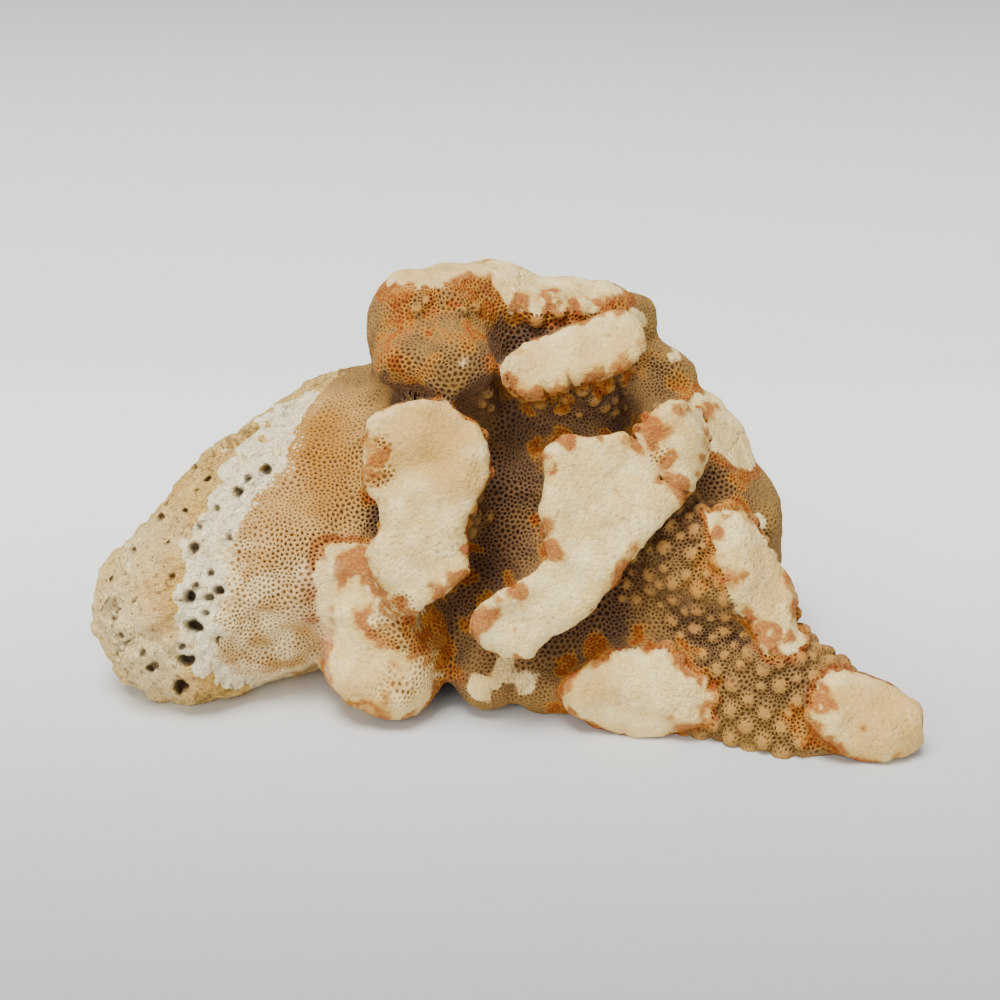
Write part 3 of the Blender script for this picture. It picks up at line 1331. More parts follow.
class Crown:
    """The pitted crown: its cells, cut into the branches that replace the CAD nodes."""

    def __init__(self, skin: Skin, material: bpy.types.Material):
        """Lays the cells over the crown and colours them.

        Args:
            skin: The head's fine surface.
            material: The crown's material.
        """
        self.material = material
        cells = Cells(skin, CUP_SPACING, CROWN_VOXEL)
        places = cells.centres
        self.field, self.warts = skin.field, cells.warts
        look = Look.of(places, skin.field)
        chance = np.random.default_rng(5)
        tint = chance.uniform(0.0, 1.0, len(places))
        height = self.heights(places)
        _, tip = wart_relief(places, cells.warts)
        depth = CUP_DEPTH * (1.0 - smooth_step(0.1, 0.8, look.flat)) * (1.0 - 0.7 * look.chalk)
        depth *= smooth_step(0.2, 1.5, height) * (0.8 + 0.4 * tint) * (1.0 - 0.9 * smooth_step(0.3, 0.6, tip))
        mouth = CUP_MOUTH + 0.08 * (look.deep - 0.5) - 0.04 * look.tan + 0.08 * (tint - 0.5)
        mouth -= 0.15 * smooth_step(0.2, 0.7, look.flat)
        self.mesh = whole_mesh("crown_cells", to_row(places), cells.triangles)
        for name, values in (("depth", depth * MM), ("mouth", mouth), ("tint", tint)):
            store(self.mesh, name, values)
        store(self.mesh, "branch", branch_numbers(places), "INT")
        mend(self.mesh)
        self.tree = cup_tree()

    @staticmethod
    def heights(places: np.ndarray) -> np.ndarray:
        """The heights of face places above the table, in millimetres."""
        return places[:, 1] * math.cos(FACE_LEAN) + places[:, 2] * math.sin(FACE_LEAN) - TABLE_HEIGHT

    def branch(self, number: int, branch: Branch) -> bpy.types.Object:
        """Makes one branch's skin with its cups.

        Args:
            number: The branch's number on the cells.
            branch: The branch.

        Returns:
            The piece.
        """
        obj = bpy.data.objects.new(branch.value + "_skin", self.mesh)
        bpy.context.scene.collection.objects.link(obj)
        modifier = obj.modifiers.new("cups", "NODES")
        modifier.node_group = self.tree
        for item in self.tree.interface.items_tree:
            if item.item_type == "SOCKET" and item.in_out == "INPUT" and item.name == "Branch":
                modifier[item.identifier] = number
            if item.item_type == "SOCKET" and item.in_out == "INPUT" and item.name == "Material":
                modifier[item.identifier] = self.material
        bpy.context.view_layer.update()
        mesh = evaluated(obj)
        obj.modifiers.remove(modifier)
        obj.data = mesh
        self.dress(mesh)
        tuck(mesh, self.field)
        sides = sum(len(face.vertices) - 2 for face in mesh.polygons)
        log.info("%s: %d triangles", obj.name, sides)
        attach(obj, "root")
        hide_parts(branch.value)
        return obj

    def dress(self, mesh: bpy.types.Mesh) -> None:
        """Raises the warts and stores what the weather did at every corner.

        Args:
            mesh: A branch's mesh, with its cups sunk.
        """
        places = to_face(corners_of(mesh))
        look = Look.of(places, self.field)
        rise, tip = wart_relief(places, self.warts)
        rise *= 1.0 - look.flat
        rough = point_waves(places, (2.4, 0.1, 41)) + look.flat * point_waves(places, (1.5, 0.1, 42))
        dents = 0.25 * smooth_step(0.8, 1.5, point_waves(places, (3.0, 1.0, 44)))
        rough += look.flat * (point_waves(places, (5.0, 0.22, 43)) - dents)
        places = places + self.field.slope(places) * (rise + rough)[:, None]
        mesh.vertices.foreach_set("co", to_row(places).astype(np.float32).ravel())
        for name in ("depth", "mouth"):
            mesh.attributes.remove(mesh.attributes[name])
        for name in ("worn", "rust", "stain", "deep", "tan", "chalk", "sunny"):
            store(mesh, name, getattr(look, name))
        store(mesh, "tip", tip * (1.0 - look.worn))
        mesh.update()


def tuck(mesh: bpy.types.Mesh, field: Field) -> None:
    """Tucks a piece's open edges into the head, under its neighbours, so that no edge is paper thin.

    Args:
        mesh: The piece's mesh, open where its neighbours carry on.
        field: The head's shape, which gives the way in.
    """
    made = bmesh.new()
    made.from_mesh(mesh)
    rims = [edge for edge in made.edges if edge.is_boundary]
    sides = bmesh.ops.extrude_edge_only(made, edges=rims)
    inner = [item for item in sides["geom"] if isinstance(item, bmesh.types.BMVert)]
    places = to_face(np.array([corner.co for corner in inner]))
    for corner, place in zip(inner, to_row(places - TUCK * field.slope(places))):
        corner.co = place
    log.info("tucked in %d rim edges", len(rims))
    made.to_mesh(mesh)
    made.free()


def linked(tree: bpy.types.NodeTree, kind: str, place: tuple[int, int], **inputs) -> bpy.types.Node:
    """Adds a node with its inputs set or linked.

    Args:
        tree: The node tree.
        kind: The node's type.
        place: Where it stands in the editor.
        **inputs: Its inputs by name, with spaces as underscores, each a value or a socket.

    Returns:
        The node.
    """
    node = tree.nodes.new(kind)
    node.location = place
    for name, value in inputs.items():
        socket = node.inputs[name.replace("_", " ")]
        if isinstance(value, bpy.types.NodeSocket):
            tree.links.new(value, socket)
        else:
            socket.default_value = value
    return node


def named(tree: bpy.types.NodeTree, name: str, place: tuple[int, int], kind: str = "FLOAT") -> Socket:
    """Adds a named attribute to a geometry tree.

    Args:
        tree: The node tree.
        name: The attribute's name.
        place: Where its node stands in the editor.
        kind: The attribute's type.

    Returns:
        The attribute's value.
    """
    node = tree.nodes.new("GeometryNodeInputNamedAttribute")
    node.location = place
    node.data_type = kind
    node.inputs["Name"].default_value = name
    return node.outputs["Attribute"]


def cup_tree() -> bpy.types.NodeTree:
    """Builds the tree that turns a net of triangles into cells with a cup sunk in each, for one branch.

    Returns:
        The tree.
    """
    tree = bpy.data.node_groups.new("coral_cups", "GeometryNodeTree")
    tree.interface.new_socket("Geometry", in_out="OUTPUT", socket_type="NodeSocketGeometry")
    for name, kind, value in (
        ("Geometry", "Geometry", None),
        ("Branch", "Int", None),
        ("Floor Share", "Float", CUP_FLOOR),
        ("Shallowest", "Float", SHALLOWEST * MM),
        ("Material", "Material", None),
    ):
        socket = tree.interface.new_socket(name, in_out="INPUT", socket_type="NodeSocket" + kind)
        if value is not None:
            socket.default_value = value
    given = tree.nodes.new("NodeGroupInput")
    dual = linked(tree, "GeometryNodeDualMesh", (200, 0), Mesh=given.outputs["Geometry"])
    same = linked(tree, "FunctionNodeCompare", (200, -200))
    same.data_type, same.operation = "INT", "EQUAL"
    tree.links.new(named(tree, "branch", (0, -200), "INT"), same.inputs[2])
    tree.links.new(given.outputs["Branch"], same.inputs[3])
    own = linked(tree, "GeometryNodeSeparateGeometry", (400, 0))
    own.domain = "FACE"
    tree.links.new(dual.outputs["Dual Mesh"], own.inputs["Geometry"])
    tree.links.new(same.outputs["Result"], own.inputs["Selection"])
    depth = named(tree, "depth", (400, -400))
    sunk = linked(tree, "FunctionNodeCompare", (600, -300))
    sunk.data_type, sunk.operation = "FLOAT", "GREATER_THAN"
    tree.links.new(depth, sunk.inputs[0])
    tree.links.new(given.outputs["Shallowest"], sunk.inputs[1])
    rim = linked(tree, "GeometryNodeExtrudeMesh", (800, 0), Mesh=own.outputs["Selection"], Offset_Scale=0.0)
    tree.links.new(sunk.outputs["Result"], rim.inputs["Selection"])
    mouth = linked(tree, "GeometryNodeScaleElements", (1000, 0), Geometry=rim.outputs["Mesh"])
    tree.links.new(rim.outputs["Top"], mouth.inputs["Selection"])
    tree.links.new(named(tree, "mouth", (800, -400)), mouth.inputs["Scale"])
    down = linked(tree, "ShaderNodeMath", (1000, -400))
    down.operation = "MULTIPLY"
    down.inputs[1].default_value = -1.0
    tree.links.new(named(tree, "depth", (800, -600)), down.inputs[0])
    wall = linked(tree, "GeometryNodeExtrudeMesh", (1200, 0), Mesh=mouth.outputs["Geometry"])
    tree.links.new(rim.outputs["Top"], wall.inputs["Selection"])
    tree.links.new(down.outputs[0], wall.inputs["Offset Scale"])
    floor = linked(tree, "GeometryNodeScaleElements", (1400, 0), Geometry=wall.outputs["Mesh"])
    tree.links.new(wall.outputs["Top"], floor.inputs["Selection"])
    tree.links.new(given.outputs["Floor Share"], floor.inputs["Scale"])
    hollow = tree.nodes.new("GeometryNodeStoreNamedAttribute")
    hollow.location = (1600, 0)
    hollow.data_type, hollow.domain = "FLOAT", "POINT"
    hollow.inputs["Name"].default_value = "hollow"
    hollow.inputs["Value"].default_value = 1.0
    tree.links.new(floor.outputs["Geometry"], hollow.inputs["Geometry"])
    tree.links.new(wall.outputs["Top"], hollow.inputs["Selection"])
    smooth = linked(tree, "GeometryNodeSetShadeSmooth", (1800, 0), Geometry=hollow.outputs["Geometry"])
    real = linked(tree, "GeometryNodeRealizeInstances", (2000, 0), Geometry=smooth.outputs["Geometry"])
    paint = linked(tree, "GeometryNodeSetMaterial", (2200, 0), Geometry=real.outputs["Geometry"])
    tree.links.new(given.outputs["Material"], paint.inputs["Material"])
    out = tree.nodes.new("NodeGroupOutput")
    out.location = (2400, 0)
    tree.links.new(paint.outputs["Geometry"], out.inputs["Geometry"])
    return tree


class BareBase:
    """The bare old skeleton at the left: rough, bored and chalky where the crown's crust has flaked off."""

    def __init__(self, skin: Skin, material: bpy.types.Material):
        """Takes the base's part of the skin and roughens it.

        Args:
            skin: The head's fine surface.
            material: The base's material.
        """
        places, faces = skin.fine(BASE_VOXEL, 3)
        side = crust_side(places)
        keep = side < BASE_LAP
        places, faces = only_used(places, faces, keep)
        side = crust_side(places)
        slope = skin.field.slope(places)
        front = smooth_step(-0.2, 0.2, slope[:, 2])
        bare = smooth_step(-0.5, -4.0, side)
        rough = point_waves(places, (2.6, 0.2, 31)) + point_waves(places, (1.3, 0.14, 32))
        rough -= 0.45 * smooth_step(0.9, 1.7, point_waves(places, (1.9, 1.0, 61)))
        lumps = point_waves(places, (4.6, 0.3, 33))
        lumps += 0.3 * np.tanh(2.5 * point_waves(places, (8.0, 1.0, 38)))
        crooked = point_waves(places, (9.0, 1.0, 34)) + 0.25 * point_waves(places, (2.5, 1.0, 39))
        cracks = -0.9 * smooth_step(0.14, 0.0, np.abs(crooked))
        cracks *= smooth_step(0.0, 0.6, point_waves(places, (14.0, 1.0, 35)))
        steps = (0.8 * places[:, 1] + 0.55 * places[:, 0]) / 4.2 + 0.35 * point_waves(places, (9.0, 1.0, 62))
        share = steps - np.floor(steps)
        ledges = 0.6 * (smooth_step(0.0, 0.75, share) * smooth_step(1.0, 0.85, share) - 0.5)
        ledges *= smooth_step(18.0, 9.0, places[:, 1]) * smooth_step(-50.0, -56.0, places[:, 0])
        chalk = self.chalk(places, side, front)
        sunk = -BASE_SINK * smooth_step(-0.6, 0.4, side) + 0.22 * chalk * bare
        pits, dark = self.pits(places, front)
        places = places + slope * (rough + bare * (lumps + cracks + ledges) + sunk)[:, None]
        places[:, 2] -= pits
        self.mesh = whole_mesh("old_base_skin", to_row(places), faces)
        mottle = point_waves(places, (5.0, 1.0, 37))
        stain = spot_mask(places, BASE_SPOTS)
        store(self.mesh, "chalk", chalk)
        store(self.mesh, "stain", np.clip(stain + 0.2 * mottle, 0.0, 1.0))
        store(self.mesh, "dusty", spot_mask(places, DUSTY_SPOTS))
        store(self.mesh, "bored", np.maximum(dark, smooth_step(-0.15, -0.7, cracks + ledges) * 0.5))
        self.mesh.materials.append(material)
        obj = bpy.data.objects.new("old_base_skin", self.mesh)
        bpy.context.scene.collection.objects.link(obj)
        tuck(self.mesh, skin.field)
        log.info("old_base_skin: %d faces", len(self.mesh.polygons))
        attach(obj, "root")
        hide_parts("old_base")

    @staticmethod
    def chalk(places: np.ndarray, side: np.ndarray, front: np.ndarray) -> np.ndarray:
        """Where white chalk clings to the stone: ragged patches in front, a band along the crust behind.

        Args:
            places: Face places on the base.
            side: How far they lie within the crust's edge.
            front: 1 where the base faces forwards.

        Returns:
            A strength from 0 to 1 for each place.
        """
        broad = point_waves(places, (12.0, 1.0, 36))
        mottle = point_waves(places, (4.0, 1.0, 37)) + 0.6 * point_waves(places, (1.8, 1.0, 45))
        patches = smooth_step(0.3, 0.6, spot_mask(places, CHALK_SPOTS) + 0.3 * mottle)
        band = smooth_step(-9.0, -6.0, side + 2.2 * broad + 1.8 * mottle) * smooth_step(-1.6, -0.7, mottle)
        return front * patches + (1.0 - front) * band

    @staticmethod
    def pits(places: np.ndarray, front: np.ndarray) -> tuple[np.ndarray, np.ndarray]:
        """The borings and pores of the base.

        Args:
            places: Face places on the base.
            front: 1 where the base faces forwards.

        Returns:
            The depth of each place in millimetres, and how dark it is.
        """
        depth, dark = np.zeros(len(places)), np.zeros(len(places))
        uneven = 0.28 * point_waves(places, (1.7, 1.0, 63))
        for across, up, radius in BORINGS + PORES:
            far = np.hypot(places[:, 0] - across, places[:, 1] - up) / radius + uneven
            mouth = smooth_step(1.25, 0.6, far) * front
            shallow = radius > 1.5
            depth = np.maximum(depth, mouth * radius * (0.7 if shallow else 2.2))
            dark = np.maximum(dark, mouth * (0.45 if shallow else min(0.95, 0.35 + 0.6 * radius)))
        return depth, dark


def stone_grain() -> bpy.types.NodeTree:
    """The grain of every stone material: coarse and fine specks and the relief that they make.

    Returns:
        The shader group, made at the first call.
    """
    tree = bpy.data.node_groups.get("stone_grain")
    if tree:
        return tree
    tree = bpy.data.node_groups.new("stone_grain", "ShaderNodeTree")
    face = tree.interface
    face.new_socket("Vector", in_out="INPUT", socket_type="NodeSocketVector")
    for name, scale in (("Coarse Scale", 240.0), ("Fine Scale", 1400.0)):
        face.new_socket(name, in_out="INPUT", socket_type="NodeSocketFloat").default_value = scale
    for name in ("Coarse", "Fine", "Height"):
        face.new_socket(name, in_out="OUTPUT", socket_type="NodeSocketFloat")
    given = tree.nodes.new("NodeGroupInput")
    out = linked(tree, "NodeGroupOutput", (900, 0))
    levels = []
    for row, name in enumerate(("Coarse", "Fine")):
        noise = linked(
            tree, "ShaderNodeTexNoise", (200, -300 * row), Vector=given.outputs["Vector"],
            Scale=given.outputs[name + " Scale"], Detail=3.5, Roughness=0.6,
        )
        level = linked(
            tree, "ShaderNodeMapRange", (400, -300 * row), Value=noise.outputs["Fac"],
            From_Min=0.35, From_Max=0.65,
        )
        level.interpolation_type = "SMOOTHSTEP"
        levels.append(level.outputs["Result"])
        tree.links.new(level.outputs["Result"], out.inputs[name])
    height = linked(tree, "ShaderNodeMath", (600, -150))
    height.operation = "ADD"
    for socket, level in zip(height.inputs, levels):
        tree.links.new(level, socket)
    half = linked(tree, "ShaderNodeMath", (750, -150))
    half.operation = "MULTIPLY"
    half.inputs[1].default_value = 0.5
    tree.links.new(height.outputs[0], half.inputs[0])
    tree.links.new(half.outputs[0], out.inputs["Height"])
    return tree


class Painter:
    """Builds a material's nodes from left to right. A colour is a socket or six hex digits."""

    def __init__(self, name: str):
        """Starts a material with one Principled BSDF.

        Args:
            name: The material's name.
        """
        self.material = bpy.data.materials.new(name)
        self.material.use_nodes = True
        self.tree = self.material.node_tree
        self.shader = self.tree.nodes["Principled BSDF"]
        self.column = -1800
        self.where = linked(self.tree, "ShaderNodeTexCoord", (-2000, 0)).outputs["Object"]

    def place(self) -> tuple[int, int]:
        """The next free place in the editor."""
        self.column += 60
        return (self.column, (self.column * 7) % 900 - 450)

    def attribute(self, name: str) -> Socket:
        """Reads an attribute.

        Args:
            name: The attribute's name.

        Returns:
            Its value.
        """
        node = self.tree.nodes.new("ShaderNodeAttribute")
        node.location = self.place()
        node.attribute_name = name
        return node.outputs["Fac"]

    def noise(self, scale: float, detail: float = 3.0, rough: float = 0.55) -> Socket:
        """Adds noise over Object coordinates.

        Args:
            scale: Its waves a metre.
            detail: How many finer layers it has.
            rough: How strong the finer layers are.

        Returns:
            The noise.
        """
        node = linked(
            self.tree, "ShaderNodeTexNoise", self.place(), Vector=self.where, Scale=scale, Detail=detail,
            Roughness=rough,
        )
        return node.outputs["Fac"]

    def cells(self, scale: float) -> Socket:
        """Soft round dots at even random places, with their number in dots a metre."""
        node = linked(self.tree, "ShaderNodeTexVoronoi", self.place(), Vector=self.where, Scale=scale)
        return self.ramp(node.outputs["Distance"], 0.42, 0.15)

    def grain(self, coarse: float, fine: float) -> tuple[Socket, ...]:
        """Adds the stone's grain.

        Args:
            coarse: The coarse specks' waves a metre.
            fine: The fine specks' waves a metre.

        Returns:
            The coarse specks, the fine specks and their relief.
        """
        node = self.tree.nodes.new("ShaderNodeGroup")
        node.node_tree = stone_grain()
        node.location = self.place()
        self.tree.links.new(self.where, node.inputs["Vector"])
        node.inputs["Coarse Scale"].default_value = coarse
        node.inputs["Fine Scale"].default_value = fine
        return tuple(node.outputs[name] for name in ("Coarse", "Fine", "Height"))

    def ramp(self, value: Socket, low: float, high: float) -> Socket:
        """Spreads a value from 0 at low to 1 at high.

        Args:
            value: The value.
            low: Where it becomes 0.
            high: Where it becomes 1.

        Returns:
            The spread value.
        """
        node = linked(self.tree, "ShaderNodeMapRange", self.place(), Value=value, From_Min=low, From_Max=high)
        node.interpolation_type = "SMOOTHSTEP"
        return node.outputs["Result"]

    def math(self, kind: str, a: Amount, b: Amount) -> Socket:
        """Works out a sum, kept between 0 and 1.

        Args:
            kind: The node's operation.
            a: The first amount.
            b: The second amount.

        Returns:
            The result.
        """
        node = self.tree.nodes.new("ShaderNodeMath")
        node.location = self.place()
        node.operation = kind
        node.use_clamp = True
        for socket, value in zip(node.inputs, (a, b)):
            if isinstance(value, Socket):
                self.tree.links.new(value, socket)
            else:
                socket.default_value = value
        return node.outputs[0]

    def plus(self, a: Amount, b: Amount) -> Socket:
        """The two amounts added."""
        return self.math("ADD", a, b)

    def less(self, a: Amount, b: Amount) -> Socket:
        """The second amount taken from the first."""
        return self.math("SUBTRACT", a, b)

    def times(self, a: Amount, b: Amount) -> Socket:
        """The two amounts multiplied."""
        return self.math("MULTIPLY", a, b)

    def mix(self, share: Amount, a: Paint, b: Paint) -> Socket:
        """Changes one colour to another.

        Args:
            share: How far the colour changes.
            a: The colour at 0.
            b: The colour at 1.

        Returns:
            The mixed colour.
        """
        node = self.tree.nodes.new("ShaderNodeMix")
        node.location = self.place()
        node.data_type = "RGBA"
        for index, value in ((0, share), (6, a), (7, b)):
            if isinstance(value, Socket):
                self.tree.links.new(value, node.inputs[index])
            elif index:
                node.inputs[index].default_value = (*srgb(value), 1.0)
            else:
                node.inputs[index].default_value = value
        return node.outputs[2]

    def finish(self, colour: Socket, height: Socket, relief: float, roughness: float) -> bpy.types.Material:
        """Joins the colour and the fine relief to the shader.

        Args:
            colour: The colour.
            height: The relief's height, from 0 to 1.
            relief: How high the relief is, in metres.
            roughness: How rough the surface is.

        Returns:
            The material.
        """
        bump = linked(self.tree, "ShaderNodeBump", (-200, -300), Height=height, Distance=relief, Strength=1.0)
        self.tree.links.new(bump.outputs["Normal"], self.shader.inputs["Normal"])
        self.tree.links.new(colour, self.shader.inputs["Base Color"])
        self.shader.inputs["Roughness"].default_value = roughness
        self.shader.inputs["Specular IOR Level"].default_value = 0.25
        return self.material


def srgb(code: str) -> Colour:
    """A colour written as six hex digits, as linear values."""
    parts = [int(code[i:i + 2], 16) / 255 for i in (0, 2, 4)]
    return tuple(c / 12.92 if c <= 0.04045 else ((c + 0.055) / 1.055) ** 2.4 for c in parts)


@dataclass(frozen=True)
class CoralFinish:
    """The crown's colours: cream where worn, rust round it, tan on open slopes and brown in valleys."""

    open_rim: str = "9C7A3A"
    deep_rim: str = "5E4634"
    blotch: str = "8E6438"
    tan_light: str = "CDA058"
    tan_dark: str = "B08040"
    sunny_rim: str = "AC7628"
    open_pit: str = "865A30"
    deep_pit: str = "2A1A0E"
    tan_pit: str = "8A6230"
    sunny_pit: str = "7E4E18"
    rust_dark: str = "98460A"
    rust_light: str = "B26C18"
    rust_pit: str = "6A360E"
    ochre: str = "C8963A"
    wart_tip: str = "C08C40"
    warm: str = "B07A48"
    cream_dark: str = "ECCC7E"
    cream_light: str = "FEE6A6"
    cream_sunny: str = "CEA04C"
    cream_blotch: str = "D2AA66"
    cream_pit: str = "A87A3C"
    cream_dot: str = "A8804A"
    pale_rim: str = "FCE4AA"
    pale_pit: str = "C0A068"
    grime: str = "7A5030"
    roughness: float = 0.8
    relief: float = 0.00032

    def material(self) -> bpy.types.Material:
        """Builds the crown's material.

        Returns:
            The material.
        """
        paint = Painter("coral_stone_skin")
        coarse, fine, relief = paint.grain(240.0, 1500.0)
        blotches = paint.ramp(paint.noise(110.0, 4.0, 0.6), 0.36, 0.64)
        speckle = paint.ramp(paint.times(coarse, fine), 0.1, 0.6)
        rusty = paint.mix(speckle, self.rust_dark, self.rust_light)
        dots = paint.cells(880.0)
        faint = paint.times(dots, paint.ramp(paint.noise(150.0, 3.0), 0.4, 0.62))
        skin = self.pitted(paint, coarse, blotches, rusty)
        edge = paint.plus(paint.attribute("worn"), paint.times(paint.less(coarse, 0.5), 0.4))
        edge = paint.less(edge, paint.times(dots, 0.12))
        skin = paint.mix(paint.ramp(edge, 0.2, 0.75), skin, self.worn(paint, coarse, blotches, faint))
        skin = self.stained(paint, skin, coarse, fine, rusty)
        pale = paint.mix(paint.attribute("hollow"), self.pale_rim, self.pale_pit)
        skin = paint.mix(paint.attribute("chalk"), skin, pale)
        skin = paint.mix(paint.times(fine, 0.12), skin, self.grime)
        relief = paint.less(relief, paint.times(faint, 0.4))
        return paint.finish(skin, relief, self.relief, self.roughness)

    def pitted(self, paint: "Painter", coarse: Socket, blotches: Socket, rusty: Socket) -> Socket:
        """Colours the cups and their rims.

        Args:
            paint: The material's nodes.
            coarse: The stone's coarse specks.
            blotches: Broad blotches.
            rusty: The colour of rust.

        Returns:
            The colour where nothing is worn.
        """
        deep, tan, tip = (paint.attribute(name) for name in ("deep", "tan", "tip"))
        rim = paint.mix(deep, self.open_rim, self.deep_rim)
        rim = paint.mix(paint.times(blotches, 0.5), rim, self.blotch)
        rim = paint.mix(tan, rim, paint.mix(paint.times(blotches, 0.3), self.tan_light, self.tan_dark))
        pit = paint.mix(deep, self.open_pit, self.deep_pit)
        pit = paint.mix(tan, pit, self.tan_pit)
        sunny = paint.times(paint.attribute("sunny"), tan)
        rim = paint.mix(paint.times(sunny, 0.9), rim, self.sunny_rim)
        pit = paint.mix(paint.times(sunny, 0.7), pit, self.sunny_pit)
        rust = paint.times(paint.attribute("rust"), paint.plus(0.5, paint.times(coarse, 0.7)))
        rust = paint.ramp(rust, 0.08, 0.5)
        rim = paint.mix(paint.times(rust, 0.9), rim, rusty)
        pit = paint.mix(rust, pit, self.rust_pit)
        rim = paint.mix(paint.times(paint.ramp(tip, 0.1, 0.7), 0.6), rim, self.wart_tip)
        skin = paint.mix(paint.times(paint.attribute("hollow"), 0.95), rim, pit)
        return paint.mix(paint.times(paint.attribute("tint"), 0.15), skin, self.warm)

    def worn(self, paint: "Painter", coarse: Socket, blotches: Socket, faint: Socket) -> Socket:
        """Colours the worn places.

        Args:
            paint: The material's nodes.
            coarse: The stone's coarse specks.
            blotches: Broad blotches.
            faint: The faint dots where cups were worn away.

        Returns:
            The cream colour.
        """
        cream = paint.mix(coarse, self.cream_dark, self.cream_light)
        cream = paint.mix(paint.times(paint.attribute("sunny"), 0.9), cream, self.cream_sunny)
        cream = paint.mix(paint.times(blotches, 0.3), cream, self.cream_blotch)
        cream = paint.mix(paint.times(paint.attribute("hollow"), 0.5), cream, self.cream_pit)
        return paint.mix(paint.times(faint, 0.4), cream, self.cream_dot)

    def stained(self, paint: "Painter", skin: Socket, coarse: Socket, fine: Socket, rusty: Socket) -> Socket:
        """Lays the rust stains over the other colours.

        Args:
            paint: The material's nodes.
            skin: The colour under the stains.
            coarse: The stone's coarse specks.
            fine: The stone's fine specks.
            rusty: The colour of rust.

        Returns:
            The stained colour.
        """
        ragged = paint.less(paint.plus(coarse, fine), 1.0)
        stain = paint.times(paint.attribute("stain"), paint.plus(0.45, paint.times(coarse, 0.75)))
        stain = paint.plus(stain, paint.times(ragged, 0.15))
        colour = paint.mix(paint.ramp(stain, 0.15, 0.65), self.ochre, rusty)
        most = paint.less(0.9, paint.times(paint.attribute("hollow"), 0.6))
        return paint.mix(paint.times(paint.ramp(stain, 0.05, 0.5), most), skin, colour)


@dataclass(frozen=True)
class BareFinish:
    """The bare base's colours: yellowish grey stone, chalk white near the crown, dark in its borings."""

    stone_yellow: str = "DAAE56"
    stone_pale: str = "E6C678"
    speck: str = "B08A4C"
    dusty: str = "F0D8A2"
    stain: str = "D89E3E"
    chalk_light: str = "FFF2C8"
    chalk_dark: str = "FAE4B0"
    pore: str = "8A6434"
    boring: str = "3A2410"
    roughness: float = 0.88
    relief: float = 0.0008

    def material(self) -> bpy.types.Material:
        """Builds the base's material.

        Returns:
            The material.
        """
        paint = Painter("bare_stone_skin")
        broad = paint.ramp(paint.noise(70.0), 0.35, 0.65)
        coarse, _, relief = paint.grain(330.0, 1300.0)
        chalk = paint.attribute("chalk")
        stone = paint.mix(broad, self.stone_yellow, self.stone_pale)
        stone = paint.mix(paint.times(coarse, 0.5), stone, self.speck)
        stone = paint.mix(paint.times(paint.attribute("dusty"), 0.75), stone, self.dusty)
        stone = paint.mix(paint.times(paint.attribute("stain"), 0.45), stone, self.stain)
        edge = paint.plus(chalk, paint.times(paint.less(coarse, 0.5), 0.5))
        white = paint.mix(coarse, self.chalk_light, self.chalk_dark)
        stone = paint.mix(paint.ramp(edge, 0.35, 0.65), stone, white)
        pores = paint.ramp(paint.noise(900.0, 2.0), 0.42, 0.3)
        seen = paint.times(pores, paint.less(0.75, paint.times(chalk, 0.35)))
        stone = paint.mix(seen, stone, self.pore)
        stone = paint.mix(paint.attribute("bored"), stone, self.boring)
        height = paint.less(relief, paint.times(pores, 0.6))
        return paint.finish(stone, height, self.relief, self.roughness)


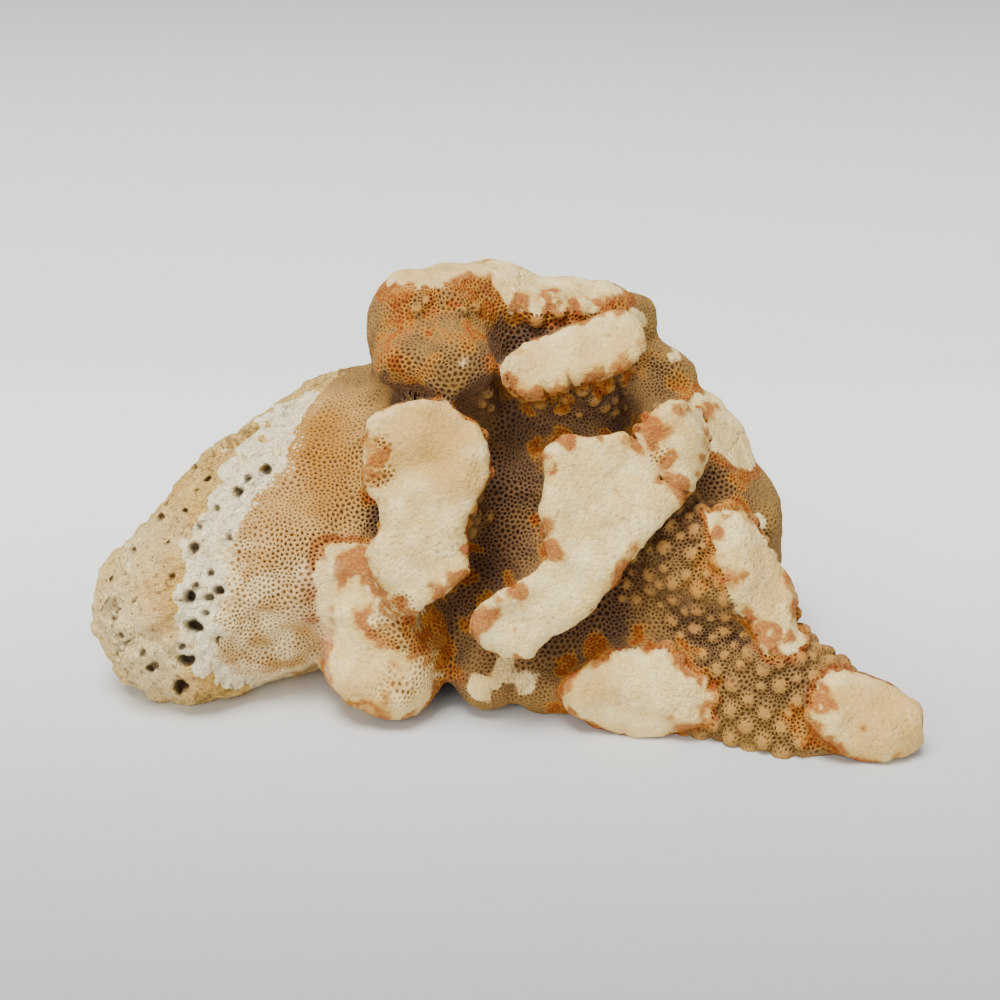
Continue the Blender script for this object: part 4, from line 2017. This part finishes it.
class Studio:
    """The pale table, the soft light and the camera."""

    TABLE_REACH = 8.0
    SKY = 0.54
    LAMPS = (
        ("key_light", (-0.3, -0.35, 1.7), 0.8, 47.0),
        ("fill_light", (-0.9, -1.5, 0.75), 1.2, 21.0),
        ("low_light", (0.9, -1.4, 0.45), 1.0, 6.0),
    )
    DISTANCE = 0.3
    LENS = 60.3
    AIM_UP = 0.034
    AIM_ACROSS = -0.0018

    def __init__(self):
        """Sets everything up."""
        self.floor()
        for lamp in self.LAMPS:
            self.light(*lamp)
        self.sky()
        self.camera()

    def floor(self) -> None:
        """Lays the flat table top, wide enough for every view."""
        made = bmesh.new()
        turns = ((1, -1), (1, 1), (-1, 1), (-1, -1))
        made.faces.new([made.verts.new((x * self.TABLE_REACH, y * self.TABLE_REACH, 0.0)) for x, y in turns])
        mesh = bpy.data.meshes.new("table_top")
        made.to_mesh(mesh)
        made.free()
        mesh.shade_smooth()
        paint = Painter("pale_table")
        mesh.materials.append(paint.finish(self.shade(paint), paint.noise(900.0), 0.00003, 0.6))
        obj = bpy.data.objects.new("table_top", mesh)
        bpy.context.scene.collection.objects.link(obj)

    @staticmethod
    def shade(paint: Painter) -> Socket:
        """Colours the table, a little darker towards the front.

        Args:
            paint: The table's material.

        Returns:
            The colour.
        """
        apart = linked(paint.tree, "ShaderNodeSeparateXYZ", paint.place(), Vector=paint.where)
        near = paint.mix(paint.ramp(apart.outputs["Y"], -0.15, 0.1), "9F9E99", "FDFDFA")
        return paint.mix(paint.ramp(apart.outputs["Y"], 0.15, 0.19), near, "F2F5F1")

    @staticmethod
    def light(name: str, place: Place, size: float, power: float) -> None:
        """Hangs an area lamp that faces the head.

        Args:
            name: The lamp's name.
            place: Where it hangs, in metres.
            size: Its width in metres.
            power: Its power in watts.
        """
        lamp = bpy.data.lights.new(name, "AREA")
        lamp.size = size
        lamp.energy = power
        obj = bpy.data.objects.new(name, lamp)
        obj.location = place
        way = Vector((0.0, 0.0, 0.03)) - Vector(place)
        obj.rotation_euler = way.to_track_quat("-Z", "Y").to_euler()
        bpy.context.scene.collection.objects.link(obj)

    def sky(self) -> None:
        """Lights the room evenly."""
        world = bpy.data.worlds.new("room")
        bpy.context.scene.world = world
        world.use_nodes = True
        back = world.node_tree.nodes["Background"]
        back.inputs["Color"].default_value = (1.0, 0.99, 0.97, 1.0)
        back.inputs["Strength"].default_value = self.SKY

    def camera(self) -> None:
        """Places the camera where the photograph was taken from."""
        lean, rise = math.sin(FACE_LEAN), math.cos(FACE_LEAN)
        start = Vector((CENTRE[0] * MM + self.AIM_ACROSS, CENTRE[1] * MM, -TABLE_HEIGHT * MM))
        aim = start + Vector((0.0, lean, rise)) * self.AIM_UP
        back = Vector((0.0, -rise, lean))
        camera = bpy.data.objects.new("camera", bpy.data.cameras.new("camera"))
        camera.data.lens = self.LENS
        camera.data.sensor_width = 36.0
        camera.data.clip_start = 0.01
        camera.location = aim + back * self.DISTANCE
        camera.rotation_euler = (-back).to_track_quat("-Z", "Y").to_euler()
        bpy.context.scene.collection.objects.link(camera)
        bpy.context.scene.camera = camera


def main() -> None:
    """Builds the scene."""
    Studio()
    skin = Skin(bare_field())
    BareBase(skin, BareFinish().material())
    crown = Crown(skin, CoralFinish().material())
    for number, branch in enumerate(Branch):
        crown.branch(number, branch)


if __name__ == "__main__":
    main()
